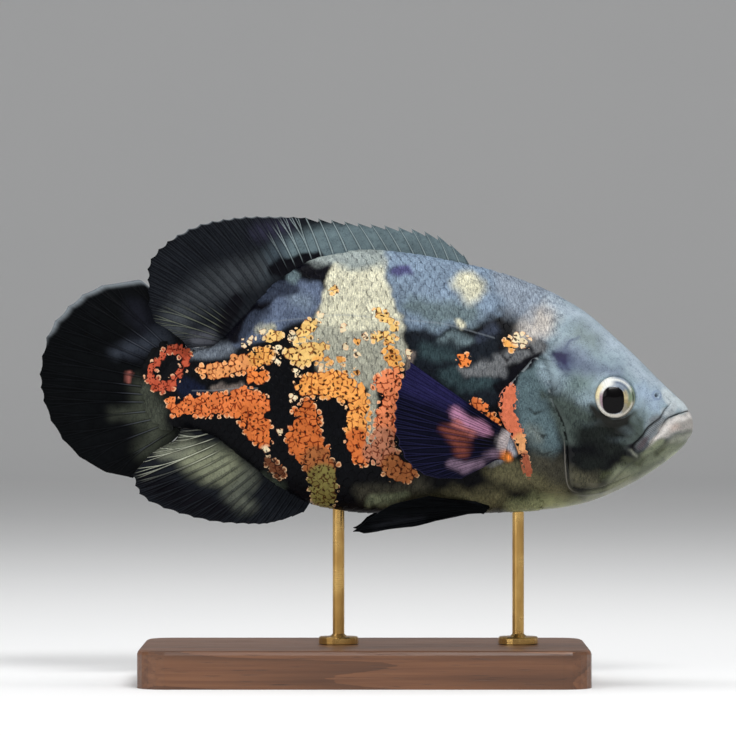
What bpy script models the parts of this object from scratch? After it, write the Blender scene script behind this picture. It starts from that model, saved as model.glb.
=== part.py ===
"""An oscar, a deep-bodied cichlid, swimming level and held by a plain two-rod display stand.

The fish faces +X and its right flank faces -Y. Places on the fish are given by their distance behind the
tip of the lower lip, their height above the body's axis and their distance aside of the middle plane.
The origin is on the floor, below the middle of the fish's length."""

import bisect
import math

import bmesh
import bpy
from mathutils import Vector

# Driving sizes, in metres
TOTAL_LENGTH = 0.280
LIP_X = TOTAL_LENGTH / 2
AXIS_HEIGHT = 0.120
GAP = 0.0003
CUT_GROW = 0.0004
BLADE_REACH = 0.06

# The tail is swept towards the fish's left, ever more behind this station
SWAY_START = 0.130
SWAY_RATE = 0.62

# The body's girth: behind the lip, back, belly, half width, height of the widest line
BODY_STATIONS = (
    (0.0000, -0.0108, -0.0112, 0.0002, -0.0110),
    (0.0013, -0.0055, -0.0158, 0.0048, -0.0110),
    (0.0034, -0.0020, -0.0188, 0.0078, -0.0110),
    (0.0077, 0.0022, -0.0230, 0.0110, -0.0105),
    (0.0140, 0.0081, -0.0279, 0.0140, -0.0095),
    (0.0310, 0.0247, -0.0379, 0.0184, -0.0070),
    (0.0480, 0.0390, -0.0443, 0.0218, -0.0050),
    (0.0650, 0.0481, -0.0471, 0.0238, -0.0035),
    (0.0940, 0.0573, -0.0480, 0.0240, -0.0010),
    (0.1380, 0.0640, -0.0480, 0.0210, 0.0030),
    (0.1580, 0.0612, -0.0455, 0.0178, 0.0045),
    (0.1760, 0.0515, -0.0370, 0.0143, 0.0050),
    (0.1930, 0.0345, -0.0240, 0.0106, 0.0050),
    (0.2060, 0.0230, -0.0150, 0.0084, 0.0040),
    (0.2210, 0.0212, -0.0126, 0.0058, 0.0040),
    (0.2280, 0.0110, -0.0035, 0.0034, 0.0040),
)
BACK_ROUNDNESS = 1.95
BELLY_ROUNDNESS = 2.25
BODY_RINGS = 44
POINTS_AROUND = 28
SNOUT_CROWDING = 0.35
SMOOTH_ANGLE = math.radians(38)

# Lines in side view that part the head, each as (behind, height)
MOUTH_LINE = (
    (-0.0050, -0.0030), (0.0024, -0.0045), (0.0064, -0.0053), (0.0106, -0.0072),
    (0.0141, -0.0098), (0.0166, -0.0136), (0.0192, -0.0170), (0.0222, -0.0205),
)
LIP_GROOVE = (
    (0.0070, 0.0080), (0.0085, 0.0010), (0.0110, -0.0008), (0.0136, -0.0043),
    (0.0170, -0.0085), (0.0205, -0.0124), (0.0238, -0.0166), (0.0260, -0.0200),
    (0.0252, -0.0222), (0.0222, -0.0205),
)
JAW_REAR_LINE = (
    (0.0222, -0.0205), (0.0268, -0.0277), (0.0345, -0.0341), (0.0395, -0.0392), (0.0425, -0.0480),
)
NECK_LINE = (
    (0.0690, 0.0620), (0.0672, 0.0220), (0.0760, 0.0000), (0.0730, -0.0200),
    (0.0660, -0.0330), (0.0640, -0.0560),
)
TAIL_STEM_LINE = ((0.2035, 0.0400), (0.2035, -0.0300))

# The gill cover's outline, clockwise from the top of its front edge
GILL_COVER_OUTLINE = (
    (0.0613, 0.0021), (0.0625, 0.0110), (0.0673, 0.0183), (0.0728, 0.0136), (0.0775, 0.0070),
    (0.0822, 0.0010), (0.0826, -0.0060), (0.0778, -0.0125), (0.0724, -0.0195), (0.0702, -0.0265),
    (0.0684, -0.0340), (0.0610, -0.0392), (0.0520, -0.0370), (0.0541, -0.0277), (0.0554, -0.0170),
    (0.0579, -0.0077),
)
GILL_PROUD_FRONT = 0.0002
GILL_PROUD_REAR = 0.0010
GILL_DEPTH = 0.0010
GILL_RING_SHARES = (0.5, 0.86, 1.0)
GILL_SEAT_REACH = 0.004

# Eyes, nostrils and lips
EYE_BEHIND = 0.0340
EYE_HEIGHT = 0.0013
EYE_RADIUS = 0.0092
EYE_HALF_DEPTH = 0.0054
EYE_SINK = 0.0020
RIM_RADIUS = 0.0012
EYE_SEGMENTS = 20
RIM_PROUD_SHARE = 1 / 3
SLOPE_STEP = 0.004
NOSTRIL_BEHIND = 0.0162
NOSTRIL_HEIGHT = 0.0021
NOSTRIL_RADIUS = 0.0011
LOWER_LIP = (
    (0.0000, -0.0102, 0.0040), (0.0034, -0.0104, 0.0040), (0.0090, -0.0118, 0.0037),
    (0.0150, -0.0158, 0.0026), (0.0206, -0.0204, 0.0012),
)
UPPER_LIP = (
    (0.0028, -0.0029, 0.0021), (0.0062, -0.0032, 0.0022), (0.0110, -0.0056, 0.0022),
    (0.0170, -0.0108, 0.0022), (0.0215, -0.0160, 0.0020), (0.0243, -0.0198, 0.0013),
)
LIP_PROUD = 0.4
LIP_STEPS = 9

# Fins: ray number, root behind, tip behind and height, for a few guide rays
DORSAL_SPINES = 13
DORSAL_GUIDES = (
    (0, 0.0937, 0.0980, 0.0622), (2, 0.1030, 0.1090, 0.0703), (4, 0.1125, 0.1200, 0.0732),
    (8, 0.1340, 0.1430, 0.0756), (12, 0.1575, 0.1650, 0.0778), (16, 0.1710, 0.1860, 0.0784),
    (20, 0.1810, 0.2050, 0.0763), (24, 0.1895, 0.2240, 0.0676), (27, 0.1940, 0.2325, 0.0558),
    (30, 0.1975, 0.2320, 0.0410), (31, 0.1985, 0.2295, 0.0340), (32, 0.1995, 0.2205, 0.0286),
)
ANAL_GUIDES = (
    (0, 0.1620, 0.1660, -0.0480), (2, 0.1665, 0.1750, -0.0512), (5, 0.1725, 0.1850, -0.0530),
    (8, 0.1790, 0.2000, -0.0524), (11, 0.1860, 0.2190, -0.0484), (14, 0.1935, 0.2360, -0.0400),
    (16, 0.1985, 0.2385, -0.0320), (17, 0.2005, 0.2315, -0.0234), (18, 0.2030, 0.2200, -0.0166),
)
# The paired fins and the tail fin also have a root height, and the paired ones a distance aside at each end
TAIL_GUIDES = (
    (0, 0.2200, 0.0215, 0.2372, 0.0517), (2, 0.2230, 0.0190, 0.2530, 0.0493),
    (4, 0.2255, 0.0155, 0.2677, 0.0402), (6, 0.2268, 0.0105, 0.2775, 0.0267),
    (8, 0.2272, 0.0045, 0.2799, 0.0110), (10, 0.2270, -0.0010, 0.2784, -0.0005),
    (11, 0.2262, -0.0040, 0.2755, -0.0090), (12, 0.2252, -0.0065, 0.2702, -0.0170),
    (13, 0.2240, -0.0090, 0.2625, -0.0245), (14, 0.2225, -0.0115, 0.2510, -0.0310),
    (15, 0.2205, -0.0135, 0.2395, -0.0335),
)
PECTORAL_GUIDES = (
    (0, 0.0792, -0.0136, 0.0218, 0.1208, 0.0162, 0.0330),
    (2, 0.0798, -0.0152, 0.0218, 0.1245, 0.0085, 0.0350),
    (4, 0.0804, -0.0168, 0.0218, 0.1270, -0.0008, 0.0370),
    (6, 0.0810, -0.0185, 0.0217, 0.1276, -0.0094, 0.0380),
    (8, 0.0816, -0.0202, 0.0214, 0.1257, -0.0187, 0.0380),
    (10, 0.0822, -0.0218, 0.0211, 0.1197, -0.0281, 0.0370),
    (12, 0.0828, -0.0234, 0.0206, 0.1086, -0.0326, 0.0340),
    (13, 0.0831, -0.0243, 0.0203, 0.0990, -0.0328, 0.0310),
)
PELVIC_GUIDES = (
    (0, 0.0900, -0.0466, 0.0075, 0.1200, -0.0535, 0.0130),
    (1, 0.0896, -0.0462, 0.0080, 0.1400, -0.0560, 0.0150),
    (2, 0.0890, -0.0457, 0.0086, 0.1448, -0.0552, 0.0165),
    (3, 0.0884, -0.0452, 0.0092, 0.1390, -0.0505, 0.0180),
    (4, 0.0878, -0.0447, 0.0098, 0.1285, -0.0440, 0.0190),
    (5, 0.0872, -0.0442, 0.0104, 0.1130, -0.0403, 0.0186),
)
FIN_ROWS = (0.0, 0.12, 0.36, 0.68, 1.0)
ROOT_SUNK = 0.0030
SLOPE_SHARE = 0.05
MEMBRANE_HALF = 0.00028
RAY_ROOT_HALF = 0.00075
RAY_TIP_HALF = 0.00040
RAY_HALF_WIDTH = 0.00055
SHEATH_HALF = 0.0016
SHEATH_SHARE = 0.30
RAY_FOOT_SHARE = 0.3
NOTCH_LAG = 0.8
SOFT_NOTCH = 0.03
SPINE_NOTCHES = (0.20, 0.07)
LOBE_LEAN = 0.0085
LEAN_POWER = 1.3
DORSAL_LEAN_FROM = 14
ANAL_LEAN_FROM = 4
MEDIAN_BOW = 0.05
TAIL_CURL = 0.0100
TAIL_CURL_DELAY = 0.28
TAIL_RIPPLE = 0.0009
TAIL_RIPPLE_RATE = 1.3
PECTORAL_FLARE = 0.0035
PELVIC_FLARE = 0.0030
PECTORAL_SHEATH_HALF = 0.0026
PELVIC_SHEATH_HALF = 0.0016

# The display stand
BASE_LENGTH = 0.190
BASE_DEPTH = 0.100
BASE_THICKNESS = 0.016
BASE_CORNER = 0.012
BASE_EDGE = 0.0018
ROD_RADIUS = 0.0025
ROD_STATIONS = (0.0745, 0.1510)
ROD_ENTRY = 0.0060
FOOT_RADIUS = 0.0085
FOOT_THICKNESS = 0.0030
FOOT_SHOULDER = 0.0012

SKIN = ("skin", (0.28, 0.33, 0.36, 1), 0.38, 0.0)
LIP_SKIN = ("lip", (0.62, 0.58, 0.56, 1), 0.40, 0.0)
FIN_SKIN = ("fin", (0.05, 0.055, 0.075, 1), 0.42, 0.0)
PECTORAL_SKIN = ("pectoral_fin", (0.06, 0.05, 0.16, 1), 0.42, 0.0)
EYE_GLOSS = ("eye", (0.02, 0.015, 0.012, 1), 0.05, 0.0)
WOOD = ("walnut", (0.11, 0.055, 0.03, 1), 0.45, 0.0)
BRASS = ("brass", (0.72, 0.55, 0.27, 1), 0.28, 1.0)


def clear_scene():
    for obj in list(bpy.data.objects):
        bpy.data.objects.remove(obj)


def collection_named(name):
    found = bpy.data.collections.new(name)
    bpy.context.scene.collection.children.link(found)
    return found


def material_of(look):
    """A Principled material of this name, colour, roughness and metallic value, made once."""
    name, colour, roughness, metallic = look
    found = bpy.data.materials.get(name)
    if found is None:
        found = bpy.data.materials.new(name)
        found.use_nodes = True
        shader = found.node_tree.nodes["Principled BSDF"]
        shader.inputs["Base Color"].default_value = colour
        shader.inputs["Roughness"].default_value = roughness
        shader.inputs["Metallic"].default_value = metallic
    return found


def smooth_through(points, at):
    """The value at a place of a smooth curve through (x, value) points, which never overshoots them."""
    xs = [p[0] for p in points]
    ys = [p[1] for p in points]
    at = min(max(at, xs[0]), xs[-1])
    slopes = [(ys[i + 1] - ys[i]) / (xs[i + 1] - xs[i]) for i in range(len(xs) - 1)]
    tangents = [slopes[0]]
    for before, after in zip(slopes, slopes[1:]):
        turns = before * after <= 0
        tangents.append(0.0 if turns else 2 * before * after / (before + after))
    tangents.append(slopes[-1])
    i = min(bisect.bisect_right(xs, at) - 1, len(xs) - 2)
    width = xs[i + 1] - xs[i]
    t = (at - xs[i]) / width
    return (
        (2 * t**3 - 3 * t**2 + 1) * ys[i]
        + (t**3 - 2 * t**2 + t) * width * tangents[i]
        + (3 * t**2 - 2 * t**3) * ys[i + 1]
        + (t**3 - t**2) * width * tangents[i + 1]
    )


def station(behind, column):
    """One girth value behind the lip. The root of the distance is smoothed, which rounds the snout."""
    points = [(math.sqrt(row[0]), row[column]) for row in BODY_STATIONS]
    return smooth_through(points, math.sqrt(max(behind, 0.0)))


def back_height(behind):
    return station(behind, 1)


def belly_height(behind):
    return station(behind, 2)


def half_breadth(behind, height):
    """How far the body's side stands from the middle plane at this place."""
    widest = station(behind, 4)
    upper = height >= widest
    reach = (back_height(behind) if upper else belly_height(behind)) - widest
    roundness = BACK_ROUNDNESS if upper else BELLY_ROUNDNESS
    share = min(abs((height - widest) / reach), 1.0)
    return station(behind, 3) * (1 - share**roundness) ** (1 / roundness)


def sway(behind):
    return SWAY_RATE * max(0.0, behind - SWAY_START) ** 2


def place(behind, height, aside=0.0):
    """A point on or near the fish in the part's own frame. Aside is positive on its left, at +Y."""
    return Vector((LIP_X - behind, sway(behind) + aside, AXIS_HEIGHT + height))


def mesh_object(name, points, faces, look, collection):
    mesh = bpy.data.meshes.new(name)
    mesh.from_pydata([tuple(p) for p in points], [], faces)
    mesh.validate()
    obj = bpy.data.objects.new(name, mesh)
    mesh.materials.append(material_of(look))
    collection.objects.link(obj)
    return obj


def shade(obj):
    obj.data.shade_smooth()
    obj.data.set_sharp_from_angle(angle=SMOOTH_ANGLE)


def bake(obj):
    """Applies the object's modifiers."""
    graph = bpy.context.evaluated_depsgraph_get()
    mesh = bpy.data.meshes.new_from_object(obj.evaluated_get(graph))
    obj.modifiers.clear()
    obj.data = mesh


def boolean(obj, other, operation):
    modifier = obj.modifiers.new(operation.lower(), "BOOLEAN")
    modifier.operation = operation
    modifier.solver = "EXACT"
    modifier.object = other
    bpy.context.view_layer.update()
    bake(obj)


def union_all(obj, collection):
    """Joins every closed mesh of the collection to the object in one union, then removes them."""
    modifier = obj.modifiers.new("union", "BOOLEAN")
    modifier.operation = "UNION"
    modifier.solver = "EXACT"
    modifier.operand_type = "COLLECTION"
    modifier.collection = collection
    bpy.context.view_layer.update()
    bake(obj)
    for piece in list(collection.objects):
        bpy.data.objects.remove(piece)


def islands_of(mesh):
    """The mesh's closed surfaces, each a set of vertex numbers, largest first."""
    shape = bmesh.new()
    shape.from_mesh(mesh)
    shape.verts.ensure_lookup_table()
    seen = set()
    found = []
    for first in shape.verts:
        if first.index in seen:
            continue
        group = {first.index}
        front = [first]
        while front:
            vert = front.pop()
            for edge in vert.link_edges:
                other = edge.other_vert(vert)
                if other.index not in group:
                    group.add(other.index)
                    front.append(other)
        seen |= group
        found.append(group)
    shape.free()
    return sorted(found, key=len, reverse=True)


def keep_island(obj, island):
    shape = bmesh.new()
    shape.from_mesh(obj.data)
    extra = [v for v in shape.verts if v.index not in island]
    bmesh.ops.delete(shape, geom=extra, context="VERTS")
    shape.to_mesh(obj.data)
    shape.free()


def keep_largest(obj):
    keep_island(obj, islands_of(obj.data)[0])


def middle_of(mesh, island):
    return sum((mesh.vertices[i].co for i in island), Vector()) / len(island)


def grid_solid(name, front, back, look, collection):
    """A closed sheet from two like grids of points, split into triangles alike on both faces."""
    rows, columns = len(front), len(front[0])
    points = [p for grid in (front, back) for row in grid for p in row]

    def front_at(r, c):
        return r * columns + c

    def back_at(r, c):
        return rows * columns + r * columns + c

    faces = []
    for r in range(rows - 1):
        for c in range(columns - 1):
            a, b = front_at(r, c), front_at(r, c + 1)
            d, e = front_at(r + 1, c), front_at(r + 1, c + 1)
            faces += [(a, b, e), (a, e, d)]
            a, b = back_at(r, c), back_at(r, c + 1)
            d, e = back_at(r + 1, c), back_at(r + 1, c + 1)
            faces += [(a, e, b), (a, d, e)]
    for c in range(columns - 1):
        faces.append((front_at(0, c + 1), front_at(0, c), back_at(0, c), back_at(0, c + 1)))
        last = rows - 1
        faces.append((front_at(last, c), front_at(last, c + 1), back_at(last, c + 1), back_at(last, c)))
    for r in range(rows - 1):
        faces.append((front_at(r, 0), front_at(r + 1, 0), back_at(r + 1, 0), back_at(r, 0)))
        last = columns - 1
        faces.append((front_at(r + 1, last), front_at(r, last), back_at(r, last), back_at(r + 1, last)))
    obj = mesh_object(name, points, faces, look, collection)
    face_outwards(obj)
    return obj


def face_outwards(obj):
    shape = bmesh.new()
    shape.from_mesh(obj.data)
    bmesh.ops.recalc_face_normals(shape, faces=shape.faces)
    shape.to_mesh(obj.data)
    shape.free()


def body_loft(name, collection, grow=0.0):
    """The whole body from the lip to the fan of the tail bones, as rings of points round its girth."""
    last = BODY_STATIONS[-1][0]
    points = [place(0.0, BODY_STATIONS[0][4]) + Vector((grow, 0, 0))]
    for ring in range(1, BODY_RINGS + 1):
        share = ring / BODY_RINGS
        behind = last * (SNOUT_CROWDING * share**2 + (1 - SNOUT_CROWDING) * share)
        widest = station(behind, 4)
        half_width = station(behind, 3) + grow
        for step in range(POINTS_AROUND):
            angle = math.tau * step / POINTS_AROUND
            upper = math.sin(angle) >= 0
            reach = (back_height(behind) + grow if upper else belly_height(behind) - grow) - widest
            power = 2 / (BACK_ROUNDNESS if upper else BELLY_ROUNDNESS)
            aside = half_width * math.copysign(abs(math.cos(angle)) ** power, math.cos(angle))
            points.append(place(behind, widest + reach * abs(math.sin(angle)) ** power, aside))
    faces = []
    for step in range(POINTS_AROUND):
        after = (step + 1) % POINTS_AROUND
        faces.append((0, 1 + step, 1 + after))
        for ring in range(BODY_RINGS - 1):
            a = 1 + ring * POINTS_AROUND
            b = a + POINTS_AROUND
            faces.append((a + step, b + step, b + after, a + after))
    end = 1 + (BODY_RINGS - 1) * POINTS_AROUND
    faces.append(tuple(range(end, end + POINTS_AROUND)))
    obj = mesh_object(name, points, faces, SKIN, collection)
    face_outwards(obj)
    return obj


def blade(name, line, collection):
    """A thin upright sheet along a line in side view, as thick as the gap, that cuts right through."""
    points = []
    for aside in (-BLADE_REACH, BLADE_REACH):
        points += [Vector((LIP_X - behind, aside, AXIS_HEIGHT + height)) for behind, height in line]
    count = len(line)
    faces = [(i, i + 1, count + i + 1, count + i) for i in range(count - 1)]
    sheet = mesh_object(name, points, faces, SKIN, collection)
    solidify = sheet.modifiers.new("thickness", "SOLIDIFY")
    solidify.thickness = GAP
    solidify.offset = 0.0
    solidify.use_even_offset = True
    bpy.context.view_layer.update()
    bake(sheet)
    return sheet


def round_outline(outline, per_span):
    """More points along a closed outline, on a smooth curve through its own."""
    count = len(outline)
    found = []
    for i in range(count):
        before, here, there, after = (Vector(outline[(i + k) % count]) for k in (-1, 0, 1, 2))
        slope_here = (there - before) / 2
        slope_there = (after - here) / 2
        for step in range(per_span):
            t = step / per_span
            found.append(
                here * (2 * t**3 - 3 * t**2 + 1) + slope_here * (t**3 - 2 * t**2 + t)
                + there * (3 * t**2 - 2 * t**3) + slope_there * (t**3 - t**2)
            )
    return found


def gill_plate(name, side, collection, grow=0.0, through=0.0):
    """The bony gill cover, a thin plate that follows the flank and stands proud along its rear edge."""
    outline = round_outline(GILL_COVER_OUTLINE, 2)
    centre = sum(outline, Vector((0, 0))) / len(outline)
    front_edge = min(p.x for p in outline)
    rear_edge = max(p.x for p in outline)

    def rim_point(p, share):
        out = p - centre
        return centre + out * share + out.normalized() * grow

    def outer(p):
        share = min(max((p.x - front_edge) / (rear_edge - front_edge), 0.0), 1.0)
        proud = GILL_PROUD_FRONT + (GILL_PROUD_REAR - GILL_PROUD_FRONT) * share
        return half_breadth(p.x, p.y) + proud + through

    def inner(p):
        return half_breadth(p.x, p.y) - GILL_DEPTH - grow

    points = []
    for surface in (outer, inner):
        points.append(place(centre.x, centre.y, side * surface(centre)))
        for share in GILL_RING_SHARES:
            for p in outline:
                q = rim_point(p, share) if share == 1.0 else centre + (p - centre) * share
                points.append(place(q.x, q.y, side * surface(q)))
    count = len(outline)
    rings = len(GILL_RING_SHARES)
    layer = 1 + rings * count
    faces = []
    for start in (0, layer):
        for i in range(count):
            j = (i + 1) % count
            faces.append((start, start + 1 + i, start + 1 + j))
            for ring in range(rings - 1):
                a = start + 1 + ring * count
                b = a + count
                faces += [(a + i, b + i, b + j), (a + i, b + j, a + j)]
    rim = 1 + (rings - 1) * count
    for i in range(count):
        j = (i + 1) % count
        faces.append((rim + i, rim + j, layer + rim + j, layer + rim + i))
    obj = mesh_object(name, points, faces, SKIN, collection)
    face_outwards(obj)
    return obj


def eye_frame(side):
    """The eye's middle and the way it looks, square to the cheek there."""
    cheek = half_breadth(EYE_BEHIND, EYE_HEIGHT)
    rear = half_breadth(EYE_BEHIND + SLOPE_STEP, EYE_HEIGHT)
    fore = half_breadth(EYE_BEHIND - SLOPE_STEP, EYE_HEIGHT)
    above = half_breadth(EYE_BEHIND, EYE_HEIGHT + SLOPE_STEP)
    below = half_breadth(EYE_BEHIND, EYE_HEIGHT - SLOPE_STEP)
    looks = Vector((rear - fore, side * 2 * SLOPE_STEP, below - above)).normalized()
    return place(EYE_BEHIND, EYE_HEIGHT, side * cheek) - looks * EYE_SINK, looks


def eyeball(name, side, collection, grow=0.0):
    middle, looks = eye_frame(side)
    shape = bmesh.new()
    bmesh.ops.create_uvsphere(shape, u_segments=EYE_SEGMENTS, v_segments=EYE_SEGMENTS // 2, radius=1.0)
    radius = EYE_RADIUS + grow
    bmesh.ops.scale(shape, vec=(radius, radius, EYE_HALF_DEPTH + grow), verts=shape.verts)
    turn = looks.to_track_quat("Z", "Y").to_matrix()
    bmesh.ops.rotate(shape, matrix=turn, verts=shape.verts)
    bmesh.ops.translate(shape, vec=middle, verts=shape.verts)
    mesh = bpy.data.meshes.new(name)
    shape.to_mesh(mesh)
    shape.free()
    obj = bpy.data.objects.new(name, mesh)
    mesh.materials.append(material_of(EYE_GLOSS))
    collection.objects.link(obj)
    return obj


def eye_rim(side, collection):
    """The low ring of skin round the eye's socket."""
    middle, looks = eye_frame(side)
    bpy.ops.mesh.primitive_torus_add(
        major_segments=24, minor_segments=6, major_radius=EYE_RADIUS, minor_radius=RIM_RADIUS,
        location=middle + looks * (EYE_SINK - RIM_RADIUS * RIM_PROUD_SHARE),
        rotation=looks.to_track_quat("Z", "Y").to_euler(),
    )
    move_to(bpy.context.object, collection)


def nostril_pit(side, collection):
    bpy.ops.mesh.primitive_uv_sphere_add(
        segments=10, ring_count=6, radius=NOSTRIL_RADIUS,
        location=place(NOSTRIL_BEHIND, NOSTRIL_HEIGHT, side * half_breadth(NOSTRIL_BEHIND, NOSTRIL_HEIGHT)),
    )
    move_to(bpy.context.object, collection)


def move_to(obj, collection):
    for holder in list(obj.users_collection):
        holder.objects.unlink(obj)
    collection.objects.link(obj)


def lip_roll(name, guides, proud, collection):
    """A fleshy lip: one tapered tube laid just under the skin from one corner of the mouth to the other."""
    start = guides[0][0]
    corner = guides[-1][0]

    def on_skin(t):
        behind = start + (corner - start) * t * t
        height = smooth_through([(row[0], row[1]) for row in guides], behind)
        return Vector((behind, math.copysign(half_breadth(behind, height), t))), height

    curve = bpy.data.curves.new(name, "CURVE")
    curve.dimensions = "3D"
    curve.bevel_depth = 1.0
    curve.bevel_resolution = 2
    curve.use_fill_caps = True
    spline = curve.splines.new("POLY")
    spline.points.add(2 * LIP_STEPS)
    for i, point in enumerate(spline.points):
        t = i / LIP_STEPS - 1
        skin, height = on_skin(t)
        along = on_skin(t + 1 / LIP_STEPS)[0] - on_skin(t - 1 / LIP_STEPS)[0]
        inwards = Vector((along.y, -along.x)).normalized()
        radius = smooth_through([(row[0], row[2]) for row in guides], skin.x)
        middle = skin + inwards * radius * (1 - proud * abs(t))
        point.co = (*place(middle.x, height, middle.y), 1)
        point.radius = radius
    source = bpy.data.objects.new(name + "_curve", curve)
    collection.objects.link(source)
    bpy.context.view_layer.update()
    graph = bpy.context.evaluated_depsgraph_get()
    mesh = bpy.data.meshes.new_from_object(source.evaluated_get(graph))
    bpy.data.objects.remove(source)
    shape = bmesh.new()
    shape.from_mesh(mesh)
    bmesh.ops.remove_doubles(shape, verts=shape.verts, dist=0.00001)
    bmesh.ops.recalc_face_normals(shape, faces=shape.faces)
    shape.to_mesh(mesh)
    shape.free()
    collection.objects.link(bpy.data.objects.new(name, mesh))


def part_body(parts, work, blades, pits):
    """The body with its lips and eye rims, cut for the eyes and gill covers and parted by thin cuts."""
    whole = body_loft("whole", parts)
    lip_roll("lower_lip", LOWER_LIP, LIP_PROUD, work)
    lip_roll("upper_lip_roll", UPPER_LIP, LIP_PROUD, work)
    for side in (-1, 1):
        eye_rim(side, work)
    union_all(whole, work)
    for side in (-1, 1):
        nostril_pit(side, pits)
        eyeball("socket", side, pits, grow=GAP)
        gill_plate("gill_seat", side, pits, grow=GAP, through=GILL_SEAT_REACH)
    for cutter in list(pits.objects):
        boolean(whole, cutter, "DIFFERENCE")
        bpy.data.objects.remove(cutter)
    for line in (LIP_GROOVE, MOUTH_LINE, JAW_REAR_LINE, NECK_LINE, TAIL_STEM_LINE):
        cutter = blade("cut", line, blades)
        boolean(whole, cutter, "DIFFERENCE")
        bpy.data.objects.remove(cutter)
    nearest = {
        "head": (0.045, 0.0),
        "upper_lip": (0.013, -0.005),
        "lower_jaw": (0.018, -0.026),
        "torso": (0.125, 0.01),
        "tail_stem": (0.216, 0.004),
    }
    islands = islands_of(whole.data)[: len(nearest)]
    for name, (behind, height) in nearest.items():
        target = place(behind, height)
        island = min(islands, key=lambda group: (middle_of(whole.data, group) - target).length)
        piece = bpy.data.objects.new(name, whole.data.copy())
        parts.objects.link(piece)
        keep_island(piece, island)
        if name in ("upper_lip", "lower_jaw"):
            piece.data.materials.clear()
            piece.data.materials.append(material_of(LIP_SKIN))
        shade(piece)
    bpy.data.objects.remove(whole)


def guide_value(guides, number, column):
    return smooth_through([(row[0], row[column]) for row in guides], number)


def median_ray(guides, contour, sink, number, lean):
    """Root and tip of one ray of a fin in the middle plane, its root sunk below the body's contour."""
    root_behind = guide_value(guides, number, 1)
    root = place(root_behind, contour(root_behind) + sink)
    tip = place(guide_value(guides, number, 2), guide_value(guides, number, 3), lean)
    return root, tip


def rayed_fin(name, guides, rays, bow, sheath_half, notch, look, collection):
    """A closed fin: a thin membrane with a raised, tapering ridge along each ray.

    rays gives root and tip for any ray number, bow lifts the middle of a ray, and notch is how far the
    membrane's edge falls short of the ray tips."""
    count = guides[-1][0] + 1

    def spot(number, share):
        root, tip, middle = bow(number, *rays(number))
        return root * (1 - share) ** 2 + middle * 2 * share * (1 - share) + tip * share**2

    def normal(number, share):
        low, high = max(number - SLOPE_SHARE, 0), min(number + SLOPE_SHARE, count - 1)
        across = spot(high, share) - spot(low, share)
        out = spot(number, min(share + SLOPE_SHARE, 1.0)) - spot(number, max(share - SLOPE_SHARE, 0.0))
        return across.cross(out).normalized()

    front = []
    back = []
    for share in FIN_ROWS:
        crest = RAY_ROOT_HALF + (RAY_TIP_HALF - RAY_ROOT_HALF) * share
        sheath = sheath_half * max(0.0, 1 - share / SHEATH_SHARE) ** 2
        front_row = []
        back_row = []
        for ray in range(count):
            here = [(float(ray), crest, 1.0)]
            if ray < count - 1:
                spacing = (spot(ray + 1, share) - spot(ray, share)).length
                foot = min(RAY_FOOT_SHARE, RAY_HALF_WIDTH / spacing)
                fall = notch(ray)
                here.append((ray + foot, MEMBRANE_HALF, 1 - fall))
                here.append((ray + 1 - foot, MEMBRANE_HALF, 1 - NOTCH_LAG * fall))
            for number, half, reach in here:
                middle = spot(number, share * reach)
                out = normal(number, share * reach) * (half + sheath)
                front_row.append(middle + out)
                back_row.append(middle - out)
        front.append(front_row)
        back.append(back_row)
    return grid_solid(name, front, back, look, collection)


def backward_bow(amount):
    """Bends each ray so that its middle lies ahead of the straight line from root to tip."""

    def bow(number, root, tip):
        along = tip - root
        across = Vector((-along.z, 0, along.x)) * amount
        return root, tip, (root + tip) / 2 + across

    return bow


def lobe_lean(guides, lean_from, number):
    """How far a ray's tip leans to the fish's right, which brings the rear lobe clear of the tail fin."""
    last = guides[-1][0]
    return -LOBE_LEAN * max(0.0, (number - lean_from) / (last - lean_from)) ** LEAN_POWER


def dorsal_ray(number):
    lean = lobe_lean(DORSAL_GUIDES, DORSAL_LEAN_FROM, number)
    return median_ray(DORSAL_GUIDES, back_height, -ROOT_SUNK, number, lean)


def anal_ray(number):
    lean = lobe_lean(ANAL_GUIDES, ANAL_LEAN_FROM, number)
    return median_ray(ANAL_GUIDES, belly_height, ROOT_SUNK, number, lean)


def tail_ray(number):
    root = place(guide_value(TAIL_GUIDES, number, 1) - ROOT_SUNK, guide_value(TAIL_GUIDES, number, 2))
    ripple = TAIL_RIPPLE * math.sin(number * TAIL_RIPPLE_RATE)
    tip = place(guide_value(TAIL_GUIDES, number, 3), guide_value(TAIL_GUIDES, number, 4), TAIL_CURL + ripple)
    return root, tip


def tail_bow(number, root, tip):
    """The tail fin leaves the body in line with it and curls aside only towards its margin."""
    middle = (root + tip) / 2
    middle.y = root.y + (tip.y - root.y) * TAIL_CURL_DELAY
    return root, tip, middle


def paired_ray(guides, side):
    def ray(number):
        behind, height, aside, tip_behind, tip_height, tip_aside = (
            guide_value(guides, number, column) for column in range(1, 7)
        )
        return place(behind, height, side * aside), place(tip_behind, tip_height, side * tip_aside)

    return ray


def flaring_bow(side, amount):
    """A paired fin stands off the flank soon after its root and then runs back beside it."""

    def bow(number, root, tip):
        middle = (root + tip) / 2
        middle.y += side * amount
        return root, tip, middle

    return bow


def dorsal_notch(ray):
    """The spiny part's edge is cut in between the spines, ever less towards the soft part."""
    if ray >= DORSAL_SPINES - 1:
        return SOFT_NOTCH
    first, last = SPINE_NOTCHES
    return first + (last - first) * ray / DORSAL_SPINES


def soft_notch(ray):
    return SOFT_NOTCH


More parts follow.
